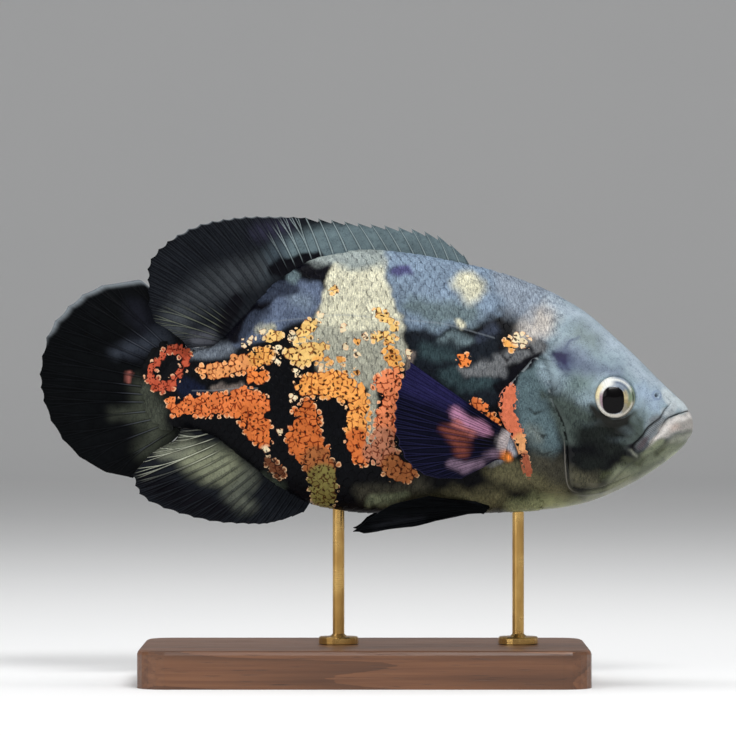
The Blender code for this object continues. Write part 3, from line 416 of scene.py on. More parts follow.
# The ground colours of a flank, from tail to snout: colour, softness of the edge, and a stroke or a field
GROUND = (
    (SLATE, 0.0018, ((0.1945, 0.0245, 0.0026), (0.1875, 0.0325, 0.0072), (0.1780, 0.0385, 0.0088),
                     (0.1685, 0.0425, 0.0085), (0.1635, 0.0440, 0.0060))),
    (SLATE_PALE, 0.0030, ((0.1700, 0.0435, 0.0030), (0.1660, 0.0420, 0.0030))),
    (SLATE_DARK, 0.0020, ((0.1935, 0.0265, 0.0035), (0.1890, 0.0330, 0.0045), (0.1830, 0.0390, 0.0040))),
    (STEM_SLATE, 0.0024, ((0.2130, 0.0205, 0.0028), (0.2060, 0.0205, 0.0034), (0.1990, 0.0205, 0.0030))),
    (BLUE_BLACK, 0.0015, ((0.2160, 0.0050, 0.0038), (0.2110, 0.0045, 0.0026))),
    (GAP_GREY, 0.0010, ((0.2045, 0.0055, 0.0012), (0.1980, 0.0050, 0.0020), (0.1925, 0.0060, 0.0018))),
    (NIGHT, 0.0010, ((0.1960, 0.0260, 0.0025), (0.1950, 0.0320, 0.0030), (0.1880, 0.0395, 0.0025),
                     (0.1815, 0.0435, 0.0028), (0.1780, 0.0450, 0.0015))),
    (WINDOW_GREY, 0.0010, ((0.1835, 0.0305, 0.0012), (0.1795, 0.0315, 0.0013))),
    (NIGHT, 0.0014, ((0.1800, 0.0560, 0.0043), (0.1685, 0.0590, 0.0047), (0.1555, 0.0550, 0.0047))),
    (SLATE_DARK, 0.0014, ((0.1835, 0.0460, 0.0038), (0.1715, 0.0475, 0.0030))),
    (TEAL_GREY, 0.0010, ((0.1705, 0.0525, 0.0026),)),
    (SHEATH_GREY, 0.0020, ((0.1660, 0.0620, 0.0030), (0.1480, 0.0610, 0.0043), (0.1310, 0.0610, 0.0038),
                           (0.1205, 0.0610, 0.0026))),
    (CREAM, 0.0010, ((0.1520, 0.0580), (0.1565, 0.0480), (0.1605, 0.0405), (0.1620, 0.0330), (0.1580, 0.0290),
                     (0.1480, 0.0275), (0.1355, 0.0290), (0.1235, 0.0295), (0.1260, 0.0380),
                     (0.1285, 0.0465), (0.1315, 0.0520), (0.1295, 0.0605), (0.1395, 0.0585), (0.1460, 0.0585))),
    (SHEATH_GREY, 0.0030, ((0.1480, 0.0595, 0.0038), (0.1335, 0.0605, 0.0034))),
    (WINDOW_GREY, 0.0012, ((0.1615, 0.0315), (0.1480, 0.0285), (0.1235, 0.0300), (0.1235, 0.0170),
                           (0.1290, 0.0130), (0.1310, 0.0060), (0.1370, 0.0050), (0.1470, 0.0060),
                           (0.1580, 0.0080), (0.1620, 0.0200))),
    (WINDOW_GREY, 0.0010, ((0.1690, 0.0245, 0.0020), (0.1640, 0.0250, 0.0030), (0.1600, 0.0260, 0.0030))),
    (WINDOW_GREY, 0.0008, ((0.1355, 0.0060, 0.0022), (0.1360, -0.0015, 0.0020), (0.1380, -0.0085, 0.0024),
                           (0.1385, -0.0170, 0.0028))),
    (STEEL, 0.0022, ((0.1295, 0.0700), (0.1165, 0.0690), (0.0950, 0.0660), (0.0760, 0.0600), (0.0785, 0.0405),
                     (0.0910, 0.0330), (0.1080, 0.0295), (0.1225, 0.0305), (0.1260, 0.0390),
                     (0.1285, 0.0465), (0.1315, 0.0520))),
    (TEAL_GREY, 0.0030, ((0.1200, 0.0400, 0.0038), (0.1100, 0.0365, 0.0055), (0.0955, 0.0365, 0.0043))),
    (INDIGO, 0.0014, ((0.1270, 0.0540, 0.0021), (0.1210, 0.0543, 0.0021))),
    (CREAM, 0.0030, ((0.0970, 0.0495, 0.0050), (0.0935, 0.0460, 0.0050))),
    (CREAM, 0.0010, ((0.0990, 0.0320, 0.0017),)),
    (NIGHT_BLUE, 0.0022, ((0.1220, 0.0275), (0.1150, 0.0300), (0.1080, 0.0285), (0.1010, 0.0235), (0.0950, 0.0225),
                          (0.0910, 0.0265), (0.0860, 0.0290), (0.0830, 0.0210), (0.0770, 0.0120),
                          (0.0780, 0.0060), (0.0840, 0.0010), (0.0915, -0.0065), (0.1080, 0.0000),
                          (0.1230, 0.0120))),
    (TEAL_GREY, 0.0020, ((0.1065, 0.0262, 0.0012), (0.1000, 0.0258, 0.0026), (0.0955, 0.0254, 0.0020))),
    (SLATE_DARK, 0.0024, ((0.0910, 0.0262, 0.0016), (0.0860, 0.0305, 0.0026))),
    (TEAL_DARK, 0.0026, ((0.1150, 0.0220, 0.0030), (0.1080, 0.0200, 0.0036), (0.1030, 0.0190, 0.0026))),
    (TEAL_DARK, 0.0026, ((0.0990, 0.0070, 0.0024), (0.0870, 0.0080, 0.0030))),
    (TEAL_DARK, 0.0018, ((0.1060, 0.0100, 0.0030), (0.1010, 0.0110, 0.0030))),
    (SCRIBBLE_SLATE, 0.0012, ((0.0985, 0.0130, 0.0016), (0.0915, 0.0135, 0.0028), (0.0855, 0.0135, 0.0030),
                              (0.0805, 0.0130, 0.0024))),
    (GAP_GREY, 0.0010, ((0.1215, 0.0195, 0.0022), (0.1210, 0.0140, 0.0015))),
    (NAPE_LILAC, 0.0040, ((0.0875, 0.0660), (0.0700, 0.0600), (0.0500, 0.0480), (0.0340, 0.0330),
                          (0.0445, 0.0210), (0.0575, 0.0225), (0.0700, 0.0290), (0.0795, 0.0375),
                          (0.0845, 0.0460))),
    (NAPE_PINK, 0.0040, ((0.0730, 0.0260, 0.0020), (0.0700, 0.0300, 0.0040), (0.0640, 0.0340, 0.0065),
                         (0.0590, 0.0340, 0.0055), (0.0550, 0.0340, 0.0030))),
    (HEAD_GREY, 0.0044, ((0.0500, 0.0520), (0.0300, 0.0400), (0.0100, 0.0240), (-0.0060, 0.0080),
                         (0.0060, -0.0120), (0.0250, -0.0200), (0.0390, -0.0135), (0.0550, -0.0005),
                         (0.0640, 0.0120), (0.0650, 0.0220), (0.0590, 0.0300))),
    # A pale stroke along the top edge of the head is a painted highlight where the light from above catches it
    (HEAD_TOP_HIGHLIGHT, 0.0045, ((0.0600, 0.0410, 0.0030), (0.0530, 0.0370, 0.0035), (0.0470, 0.0350, 0.0025),
                        (0.0390, 0.0265, 0.0040), (0.0300, 0.0200, 0.0030), (0.0220, 0.0110, 0.0045),
                        (0.0130, 0.0050, 0.0030))),
    (FOREHEAD_OLIVE, 0.0040, ((0.0490, 0.0290, 0.0030), (0.0440, 0.0250, 0.0030))),
    (HEAD_LILAC, 0.0040, ((0.0540, 0.0200, 0.0040), (0.0480, 0.0150, 0.0040), (0.0420, 0.0130, 0.0025),
                          (0.0340, 0.0125, 0.0020))),
    (SMUDGE, 0.0032, ((0.0585, 0.0195, 0.0020), (0.0550, 0.0170, 0.0035), (0.0540, 0.0130, 0.0025))),
    (INDIGO_DARK, 0.0008, ((0.0602, 0.0206, 0.0002), (0.0580, 0.0186, 0.0012), (0.0554, 0.0172, 0.0013),
                           (0.0530, 0.0178, 0.0002))),
    (INDIGO_DARK, 0.0006, ((0.0566, 0.0188, 0.0004), (0.0552, 0.0158, 0.0009), (0.0530, 0.0132, 0.0001))),
    (INDIGO_DARK, 0.0006, ((0.0585, 0.0175, 0.0002), (0.0560, 0.0142, 0.0004))),
    (SMUDGE, 0.0010, ((0.0550, 0.0210, 0.0003), (0.0520, 0.0245, 0.0006), (0.0490, 0.0275, 0.0001))),
    (SMUDGE, 0.0010, ((0.0600, 0.0165, 0.0002), (0.0570, 0.0155, 0.0005), (0.0520, 0.0145, 0.0002))),
    (HEAD_TEAL, 0.0040, ((0.0520, 0.0075, 0.0045), (0.0470, 0.0060, 0.0035))),
    (CHEEK_TEAL, 0.0040, ((0.0630, 0.0010, 0.0020), (0.0570, -0.0010, 0.0045), (0.0500, -0.0050, 0.0050),
                          (0.0440, -0.0070, 0.0040))),
    (CHEEK_TEAL, 0.0030, ((0.0590, -0.0080, 0.0040), (0.0540, -0.0110, 0.0040), (0.0530, -0.0160, 0.0030))),
    (CHEEK_DARK, 0.0040, ((0.0470, -0.0145, 0.0035), (0.0400, -0.0140, 0.0060), (0.0330, -0.0130, 0.0050),
                          (0.0285, -0.0140, 0.0030))),
    (CHEEK_DARK, 0.0036, ((0.0360, -0.0215, 0.0036), (0.0300, -0.0200, 0.0034), (0.0262, -0.0205, 0.0022))),
    (CHEEK_DARK, 0.0040, ((0.0470, -0.0270, 0.0030), (0.0420, -0.0270, 0.0035))),
    (CHEEK_TEAL, 0.0030, ((0.0265, -0.0080, 0.0020), (0.0250, -0.0130, 0.0030), (0.0265, -0.0170, 0.0025))),
    (EYE_SHADOW, 0.0018, ((0.0438, -0.0022, 0.0012), (0.0412, -0.0070, 0.0026), (0.0350, -0.0094, 0.0034),
                          (0.0290, -0.0082, 0.0030), (0.0258, -0.0048, 0.0010))),
    (CHEEK_OLIVE, 0.0030, ((0.0510, -0.0330, 0.0030), (0.0440, -0.0345, 0.0030))),
    (OPERCLE, 0.0026, ((0.0660, 0.0150, 0.0030), (0.0700, 0.0060, 0.0070), (0.0700, -0.0050, 0.0075),
                       (0.0660, -0.0120, 0.0070), (0.0630, -0.0200, 0.0060))),
    (HEAD_GREY, 0.0030, ((0.0660, 0.0140, 0.0025), (0.0645, 0.0100, 0.0025))),
    (OPERCLE_PALE, 0.0040, ((0.0700, -0.0120, 0.0022), (0.0680, -0.0170, 0.0020))),
    (CHEEK_TEAL, 0.0016, ((0.0655, 0.0030, 0.0010), (0.0640, 0.0010, 0.0014))),
    (OPERCLE_LOW, 0.0040, ((0.0660, -0.0270, 0.0050), (0.0590, -0.0300, 0.0050), (0.0590, -0.0360, 0.0030))),
    (CHEEK_DARK, 0.0005, ((0.0700, -0.0030, 0.0002), (0.0672, -0.0052, 0.0004), (0.0640, -0.0050, 0.0001))),
    (CHEEK_DARK, 0.0005, ((0.0680, -0.0150, 0.0001), (0.0655, -0.0168, 0.0004), (0.0630, -0.0160, 0.0001))),
    (CHEEK_DARK, 0.0005, ((0.0665, -0.0225, 0.0001), (0.0640, -0.0235, 0.0004), (0.0615, -0.0225, 0.0001))),
    (SCRIBBLE_SLATE, 0.0012, ((0.0830, 0.0165, 0.0024), (0.0780, 0.0185, 0.0030), (0.0720, 0.0200, 0.0028),
                              (0.0650, 0.0235, 0.0028))),
    (NIGHT, 0.0008, ((0.0830, 0.0060, 0.0020), (0.0775, 0.0085, 0.0020), (0.0740, 0.0130, 0.0022),
                     (0.0700, 0.0170, 0.0012), (0.0660, 0.0205, 0.0005))),
    (NIGHT, 0.0006, ((0.0830, 0.0200, 0.0004), (0.0790, 0.0170, 0.0006), (0.0760, 0.0185, 0.0002))),
    (NIGHT, 0.0006, ((0.0740, 0.0215, 0.0003), (0.0705, 0.0225, 0.0007), (0.0690, 0.0195, 0.0004))),
    (SNOUT, 0.0030, ((0.0230, 0.0030, 0.0030), (0.0180, -0.0010, 0.0035), (0.0165, -0.0040, 0.0020))),
    (CHEEK_TEAL, 0.0030, ((0.0245, -0.0050, 0.0015), (0.0225, -0.0100, 0.0025), (0.0240, -0.0140, 0.0020))),
    (PREMAXILLA, 0.0012, ((0.0120, 0.0020, 0.0020), (0.0080, -0.0010, 0.0026), (0.0040, -0.0020, 0.0030),
                          (-0.0010, -0.0030, 0.0030))),
    (MAXILLA_PALE, 0.0012, ((0.0090, -0.0030, 0.0022), (0.0125, -0.0060, 0.0022))),
    (MAXILLA, 0.0016, ((0.0155, -0.0090, 0.0020), (0.0175, -0.0125, 0.0023), (0.0200, -0.0155, 0.0022))),
    (MAXILLA_DARK, 0.0014, ((0.0220, -0.0175, 0.0018), (0.0238, -0.0195, 0.0014))),
    (LIP_PALE, 0.0012, ((-0.0060, -0.0030), (0.0021, -0.0046), (0.0068, -0.0058), (0.0121, -0.0084),
                        (0.0147, -0.0108), (0.0167, -0.0148), (0.0206, -0.0206), (0.0180, -0.0206),
                        (0.0150, -0.0182), (0.0100, -0.0152), (0.0040, -0.0136), (-0.0060, -0.0120))),
    # A white band along the top of the lower lip, by the mouth, is a painted highlight
    (LIP_TOP_HIGHLIGHT, 0.0010, ((0.0024, -0.0064, 0.0010), (0.0068, -0.0078, 0.0011), (0.0112, -0.0102, 0.0011),
                         (0.0143, -0.0136, 0.0009), (0.0172, -0.0174, 0.0006))),
    (LIP_PINK, 0.0020, ((0.0110, -0.0128, 0.0012), (0.0088, -0.0120, 0.0010))),
    (JAW_GREY, 0.0022, ((-0.0020, -0.0150, 0.0024), (0.0040, -0.0162, 0.0020), (0.0100, -0.0182, 0.0016))),
    (JAW_OLIVE, 0.0034, ((0.0040, -0.0205, 0.0022), (0.0120, -0.0230, 0.0028), (0.0195, -0.0262, 0.0030),
                         (0.0270, -0.0300, 0.0024), (0.0340, -0.0335, 0.0026))),
    (JAW_OLIVE, 0.0010, ((0.0150, -0.0190, 0.0014), (0.0188, -0.0214, 0.0014), (0.0212, -0.0232, 0.0010))),
    (NIGHT, 0.0005, ((0.0256, -0.0178, 0.0003), (0.0270, -0.0196, 0.0009), (0.0258, -0.0214, 0.0008))),
    (JAW_RIM, 0.0016, ((0.0060, -0.0235, 0.0010), (0.0130, -0.0280, 0.0014), (0.0230, -0.0335, 0.0020),
                       (0.0310, -0.0375, 0.0020))),
    (JAW_DARK, 0.0014, ((0.0150, -0.0220, 0.0007), (0.0128, -0.0222, 0.0009))),
    (JAW_DARK, 0.0018, ((0.0290, -0.0262, 0.0007), (0.0240, -0.0268, 0.0010), (0.0210, -0.0252, 0.0007))),
    (JAW_DARK, 0.0018, ((0.0400, -0.0318, 0.0010), (0.0360, -0.0322, 0.0012))),
    (THROAT, 0.0030, ((0.0280, -0.0340, 0.0025), (0.0340, -0.0370, 0.0030), (0.0400, -0.0410, 0.0034),
                      (0.0500, -0.0445, 0.0030))),
    (JAW_GREY, 0.0010, ((0.0266, -0.0218, 0.0003), (0.0258, -0.0230, 0.0005), (0.0240, -0.0238, 0.0002))),
    # These brown and olive strokes are the belly's own colour, painted paler as painted light thrown up onto the
    # underside
    (BELLY_BROWN_LIT_FROM_BELOW, 0.0040, ((0.0840, -0.0300, 0.0040), (0.0760, -0.0310, 0.0050), (0.0700, -0.0330, 0.0040),
                           (0.0560, -0.0400, 0.0030))),
    (BELLY_OLIVE_LIT_FROM_BELOW, 0.0040, ((0.0540, -0.0445, 0.0030), (0.0660, -0.0450, 0.0040), (0.0760, -0.0460, 0.0035))),
    (BELLY_BROWN_LIT_FROM_BELOW, 0.0040, ((0.0850, -0.0420, 0.0050), (0.1035, -0.0435, 0.0051), (0.1185, -0.0445, 0.0038))),
    (OPERCLE_LOW, 0.0030, ((0.1410, -0.0400, 0.0028), (0.1300, -0.0385, 0.0036), (0.1160, -0.0370, 0.0036))),
    (WEDGE_GREEN, 0.0016, ((0.1370, -0.0440, 0.0021), (0.1290, -0.0420, 0.0030), (0.1235, -0.0400, 0.0017))),
    (REAR_GREEN, 0.0022, ((0.1760, -0.0375, 0.0024), (0.1835, -0.0330, 0.0020))),
    (FIN_BLACK, 0.0030, ((0.2290, 0.0330), (0.2400, 0.0300), (0.2420, -0.0240), (0.2250, -0.0200), (0.2230, 0.0000),
                         (0.2290, 0.0150))),
    (FIN_ROOT, 0.0040, ((0.2330, 0.0050, 0.0030), (0.2300, -0.0040, 0.0045), (0.2290, -0.0130, 0.0045))),
    (GIRDLE_GREY, 0.0014, ((0.0840, -0.0150, 0.0016), (0.0800, -0.0178, 0.0022), (0.0775, -0.0212, 0.0018))),
    (GIRDLE_GREY, 0.0014, ((0.0870, -0.0240, 0.0016), (0.0840, -0.0262, 0.0010))),
    (ORANGE, 0.0018, ((0.0803, -0.0237, 0.0020),)),
)

# Lines of the head in side view, each as (behind, height) points
MOUTH_LINE = ((-0.0010, -0.0042), (0.0030, -0.0047), (0.0075, -0.0060), (0.0118, -0.0080), (0.0146, -0.0122),
              (0.0176, -0.0168), (0.0206, -0.0202))
MAXILLA_GROOVE = ((0.0094, -0.0005), (0.0128, -0.0043), (0.0152, -0.0077), (0.0200, -0.0116),
                  (0.0224, -0.0151), (0.0262, -0.0190), (0.0262, -0.0212), (0.0238, -0.0222),
                  (0.0206, -0.0202))
CHEEK_FOLD = ((0.0613, 0.0005), (0.0583, -0.0051), (0.0562, -0.0112), (0.0549, -0.0168), (0.0545, -0.0242),
              (0.0540, -0.0311), (0.0527, -0.0362), (0.0485, -0.0382), (0.0412, -0.0378), (0.0345, -0.0355),
              (0.0226, -0.0295))
JAW_FOLD = ((0.0206, -0.0202), (0.0235, -0.0240), (0.0290, -0.0290), (0.0345, -0.0341), (0.0400, -0.0395))
CHIN_FOLD = ((0.0020, -0.0165), (0.0065, -0.0190), (0.0115, -0.0215))


def fair_line(points, per_span=8):
    """More points on a smooth curve through the given ones."""
    points = np.array(points)
    padded = np.vstack((2 * points[0] - points[1], points, 2 * points[-1] - points[-2]))
    found = []
    for before, here, there, after in zip(padded, padded[1:], padded[2:], padded[3:]):
        for t in np.arange(per_span) / per_span:
            found.append(0.5 * (
                2 * here + (there - before) * t + (2 * before - 5 * here + 4 * there - after) * t**2
                + (3 * here - before - 3 * there + after) * t**3
            ))
    return np.vstack(found + [points[-1]])


def off_line(line, x, y):
    """Distance of places from a line, the share of its length where they are nearest, and which side of it."""
    nearest = np.full(np.shape(x), 1.0)
    shares = np.zeros(np.shape(x))
    sides = np.zeros(np.shape(x))
    runs = np.hypot(*np.diff(line, axis=0).T)
    starts = np.concatenate(([0], np.cumsum(runs)))
    for (ax, ay), (bx, by), run, start in zip(line, line[1:], runs, starts):
        dx, dy = (bx - ax) / run, (by - ay) / run
        t = np.clip((x - ax) * dx + (y - ay) * dy, 0, run)
        away = np.hypot(x - ax - t * dx, y - ay - t * dy)
        closer = away < nearest
        nearest = np.where(closer, away, nearest)
        shares = np.where(closer, (start + t) / starts[-1], shares)
        sides = np.where(closer, np.sign((x - ax) * dy - (y - ay) * dx), sides)
    return nearest, shares, sides


def mound(distance, width):
    return np.exp(-((distance / width) ** 2))


EYE_BEHIND = 0.0340
EYE_HEIGHT = 0.0013
EYE_RADIUS = 0.0092
EYE_HALF_DEPTH = 0.0054
EYE_SINK = 0.0020
NOSTRIL = (0.0162, 0.0021)
VENT = 0.1555
mouth_line = fair_line(MOUTH_LINE)
maxilla_groove = fair_line(MAXILLA_GROOVE)
cheek_fold = fair_line(CHEEK_FOLD)
jaw_fold = fair_line(JAW_FOLD)
chin_fold = fair_line(CHIN_FOLD)
SCALES_START = 0.045
SCALES_FULL = 0.072
SKIN_UNDER_SCALES = 0.00045


def eye_off(behind, height):
    return np.hypot(behind - EYE_BEHIND, height - EYE_HEIGHT)


def skin_rise(behind, height):
    """How far the skin stands out from the plain body: lips, folds, rims and pits."""
    rise = -SKIN_UNDER_SCALES * smooth_step(SCALES_START, SCALES_FULL, behind)
    off, share, side = off_line(mouth_line, behind, height)
    # The lower lip swells out below the line of the mouth, and the upper one less above it
    fade = 1 - smooth_step(0.55, 1.0, share)
    inward = smooth_step(0.0015, 0.0080, behind)
    rise += 0.0009 * mound(off - 0.0036, 0.0038) * (side > 0) * (0.35 + 0.65 * fade) * inward
    rise += 0.0006 * mound(off - 0.0021, 0.0016) * (side <= 0) * (1 - 0.4 * share) * inward
    rise -= 0.0011 * mound(off, 0.00045) * (0.35 + 0.65 * inward) * (0.3 + 0.7 * fade)
    off, share, side = off_line(maxilla_groove, behind, height)
    rise -= 0.0010 * mound(off, 0.00045) * smooth_step(0.0, 0.12, share) * (1 - smooth_step(0.78, 0.9, share))
    rise += 0.0004 * mound(off - 0.0014, 0.0011) * (side > 0) * smooth_step(0.0, 0.15, share)
    off, share, side = off_line(cheek_fold, behind, height)
    fade = smooth_step(0.0, 0.2, share) * (1 - smooth_step(0.72, 1.0, share))
    rise -= 0.0012 * mound(off, 0.00040) * fade
    rise += 0.0006 * mound(off - 0.0011, 0.0010) * (side < 0) * fade
    off, share, side = off_line(jaw_fold, behind, height)
    rise -= 0.0005 * mound(off, 0.0006) * (1 - smooth_step(0.5, 1.0, share))
    off, share, side = off_line(chin_fold, behind, height)
    rise -= 0.00035 * mound(off, 0.0009) * (1 - smooth_step(0.3, 1.0, share))
    off = eye_off(behind, height)
    rise -= 0.0040 * (1 - smooth_step(0.0072, 0.0089, off))
    rise += 0.0007 * mound(off - 0.0097, 0.0009)
    off = np.hypot(behind - NOSTRIL[0], height - NOSTRIL[1])
    rise += 0.00035 * mound(off - 0.0013, 0.0005) - 0.0012 * mound(off, 0.0008)
    return rise


def rings_behind():
    """Where the skin's rings of points lie: close together over the head and wider apart over the body."""
    snout = 0.030 * (np.arange(1, 111) / 110) ** 1.5
    cheek = np.linspace(0.030, 0.072, 136)[1:]
    body = np.linspace(0.072, BODY_END, 56)[1:]
    return np.concatenate((snout, cheek, body))


POINTS_UP = 160
SHEET_SCALE = 3.6
SHEET_MARGIN = 0.02


def on_sheet(behind, along, side):
    """A place's spot on the flat pattern of the skin, which shows each flank unrolled."""
    middle = np.where(np.asarray(side) < 0, 0.25, 0.75)
    return np.stack((SHEET_MARGIN + SHEET_SCALE * behind, middle + SHEET_SCALE * along), axis=-1)


def new_piece(name, points, face_sets, finish, nodes, corner_spots=None):
    """A meshed piece that rides with the model. Each face set is a table of faces with as many corners each."""
    mesh = bpy.data.meshes.new(name)
    corners = np.concatenate([faces.ravel() for faces in face_sets])
    widths = np.concatenate([np.full(len(faces), faces.shape[1]) for faces in face_sets])
    mesh.vertices.add(len(points))
    mesh.vertices.foreach_set("co", np.asarray(points, np.float32).ravel())
    mesh.loops.add(len(corners))
    mesh.loops.foreach_set("vertex_index", corners.astype(np.int32))
    mesh.polygons.add(len(widths))
    mesh.polygons.foreach_set("loop_start", np.concatenate(([0], np.cumsum(widths)[:-1])).astype(np.int32))
    if corner_spots is not None:
        spots = mesh.uv_layers.new(name="OFBake")
        spots.uv.foreach_set("vector", np.asarray(corner_spots, np.float32).ravel())
    mesh.update(calc_edges=True)
    mesh.shade_smooth()
    piece = bpy.data.objects.new(name, mesh)
    bpy.context.scene.collection.objects.link(piece)
    mesh.materials.append(finish)
    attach(piece, "root")
    if nodes:
        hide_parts(*nodes)
    return piece


def store(piece, name, values):
    """Keeps a number, a place or a colour for each point of the piece, for its finish to read."""
    values = np.asarray(values, np.float32)
    kind, key = {1: ("FLOAT", "value"), 3: ("FLOAT_VECTOR", "vector"), 4: ("FLOAT_COLOR", "color")}[
        1 if values.ndim == 1 else values.shape[1]]
    piece.data.attributes.new(name, kind, "POINT").data.foreach_set(key, values.ravel())


def grid_faces(rows, columns, closed=False):
    """Four-cornered faces over a grid of points numbered row by row."""
    r, c = np.meshgrid(np.arange(rows - 1), np.arange(columns if closed else columns - 1), indexing="ij")
    after = (c + 1) % columns
    quads = np.stack((r * columns + c, (r + 1) * columns + c, (r + 1) * columns + after, r * columns + after), -1)
    return quads.reshape(-1, 4)


def point_normals(points, quads):
    """The outward direction at each point of a grid of faces."""
    across = np.cross(points[quads[:, 2]] - points[quads[:, 0]], points[quads[:, 3]] - points[quads[:, 1]])
    total = np.zeros_like(points)
    for corner in range(4):
        np.add.at(total, quads[:, corner], across)
    return unit(total)


def stored(tree, name, out=0):
    return node(tree, "Attribute", attribute_name=name, out=out)


def new_group(name, inputs, outputs):
    """An empty shader node group with its named inputs, each with a value, and its named outputs."""
    group = bpy.data.node_groups.new(name, "ShaderNodeTree")
    for label, value in inputs.items():
        kind = "NodeSocketFloat" if isinstance(value, float) else "NodeSocketVector" if len(value) == 3 \
            else "NodeSocketColor"
        group.interface.new_socket(label, in_out="INPUT", socket_type=kind).default_value = value
    for label, kind in outputs.items():
        group.interface.new_socket(label, in_out="OUTPUT", socket_type=kind)
    return group, group.nodes.new("NodeGroupInput").outputs, group.nodes.new("NodeGroupOutput").inputs


def grouped(tree, group, **inputs):
    """The outputs of a group placed in a material with its own values."""
    made = tree.nodes.new("ShaderNodeGroup")
    made.node_tree = group
    for label, value in inputs.items():
        join(tree, made.inputs[label.replace("_", " ").capitalize()], value)
    return made.outputs


def make_speckle():
    """Fine pigment grains: they darken and lighten a colour over a few sizes."""
    group, given, result = new_group(
        "pigment grains",
        {"Colour": (0.5, 0.5, 0.5, 1.0), "Amount": 0.5, "Grains per metre": 1500.0},
        {"Colour": "NodeSocketColor", "Height": "NodeSocketFloat"},
    )
    coordinates = node(group, "TexCoord", out=3)
    fine = node(group, "TexNoise", (coordinates, None, given["Grains per metre"], 2.0, 0.6))
    broad = maths(group, "MULTIPLY", given["Grains per metre"], 0.22)
    patches = node(group, "TexNoise", (coordinates, None, broad, 2.0, 0.5))
    both = maths(group, "ADD", maths(group, "MULTIPLY", fine, 0.6), maths(group, "MULTIPLY", patches, 0.4))
    darker = maths(group, "MULTIPLY", between(group, both, 0.52, 0.34), given["Amount"])
    paler = maths(group, "MULTIPLY", between(group, both, 0.50, 0.72), given["Amount"])
    shaded = blended(group, darker, given["Colour"], (0.25, 0.27, 0.33, 1.0), "MULTIPLY")
    join(group, result["Colour"], blended(group, paler, shaded, (1.35, 1.35, 1.32, 1.0), "MULTIPLY"))
    join(group, result["Height"], fine)
    return group


speckle = make_speckle()


def make_skin_finish():
    finish, tree, shader = new_finish(
        "painted_skin", roughness=0.36, coat_weight=0.03, coat_roughness=0.22, specular_ior_level=0.14)
    colour = grouped(tree, speckle, colour=stored(tree, "paint"), amount=0.45, grains_per_metre=1700.0)
    # The upper jaw's strip is finely grooved across, and each groove is painted darker as painted shade
    strip = stored(tree, "strip", out=2)
    lines = maths(tree, "SINE", maths(tree, "MULTIPLY", stored(tree, "strip_run", out=2), 8200.0))
    grooves = maths(tree, "MULTIPLY", between(tree, lines, 0.1, 0.9), strip)
    shown = blended(tree, maths(tree, "MULTIPLY", grooves, 0.50), colour["Colour"], tone(52, 52, 58))
    # The mouth, the upper jaw's groove and the cheek's fold get fine dark lines of uneven width: painted shade in them
    offs = stored(tree, "line_offs", out=1)
    strengths = stored(tree, "line_strengths", out=1)
    uneven = node(tree, "TexNoise", (node(tree, "TexCoord", out=3), None, 500.0, 2.0, 0.6))
    wander = maths(tree, "MULTIPLY_ADD", uneven, 0.5, -0.25)
    for axis, width in ((0, 0.42), (1, 0.66), (2, 0.85)):
        off = node(tree, "SeparateXYZ", (offs,), out=axis)
        strength = node(tree, "SeparateXYZ", (strengths,), out=axis)
        away = maths(tree, "ABSOLUTE", maths(tree, "ADD", off, wander))
        reach = maths(tree, "MULTIPLY", strength, width)
        line = maths(tree, "MULTIPLY", strength, node(tree, "MapRange", (away, 0.1, reach, 1.0, 0.0)))
        shown = blended(tree, maths(tree, "MULTIPLY", line, 0.95), shown, tone(10, 11, 12))
        if axis == 2:
            # Behind the cheek's fold a pale line is painted along the raised ridge: a painted highlight where it
            # catches the light
            beyond = maths(tree, "ABSOLUTE", maths(tree, "ADD", maths(tree, "ADD", off, wander), 0.95))
            ridge_highlight = maths(tree, "MULTIPLY", between(tree, beyond, 0.34, 0.06), between(tree, strength, 0.30, 0.60))
            ridge_highlight = maths(tree, "MULTIPLY", ridge_highlight, stored(tree, "ridge_highlight", out=2))
            shown = blended(tree, maths(tree, "MULTIPLY", ridge_highlight, 0.45), shown, tone(140, 136, 128))
    join(tree, shader.inputs["Base Color"], shown)
    height = maths(tree, "SUBTRACT", colour["Height"], maths(tree, "MULTIPLY", grooves, 1.5))
    join(tree, shader.inputs["Normal"], bumped(tree, height, 0.00006, 0.8))
    return finish


def store_lines(piece, behind, height):
    """Keeps how far each point is to one side of the mouth, the upper jaw's groove and the cheek's fold, in mm, how
    strongly the painted shade in each is drawn there, and where the ridge behind the fold gets its painted highlight."""
    offs, strengths = [], []
    for line, shows in (
        (mouth_line, ((0.0, 0.0), (0.03, 1.0), (0.40, 0.9), (0.62, 0.35), (0.90, 0.35), (1.0, 0.0))),
        (maxilla_groove, ((0.0, 0.0), (0.06, 0.5), (0.25, 0.75), (0.55, 1.0), (0.76, 1.0), (0.84, 0.2), (1.0, 0.0))),
        (cheek_fold, ((0.0, 0.0), (0.04, 0.5), (0.10, 0.9), (0.45, 1.0), (0.56, 0.5), (0.80, 0.35), (1.0, 0.0))),
    ):
        off, along, way = off_line(line, behind, height)
        offs.append(off * way * 1000)
        strengths.append(np.interp(along, *zip(*shows)))
    store(piece, "line_offs", np.stack(offs, -1))
    store(piece, "line_strengths", np.stack(strengths, -1))
    store(piece, "ridge_highlight", smooth_step(0.22, 0.34, along) * (1 - smooth_step(0.44, 0.66, along)))


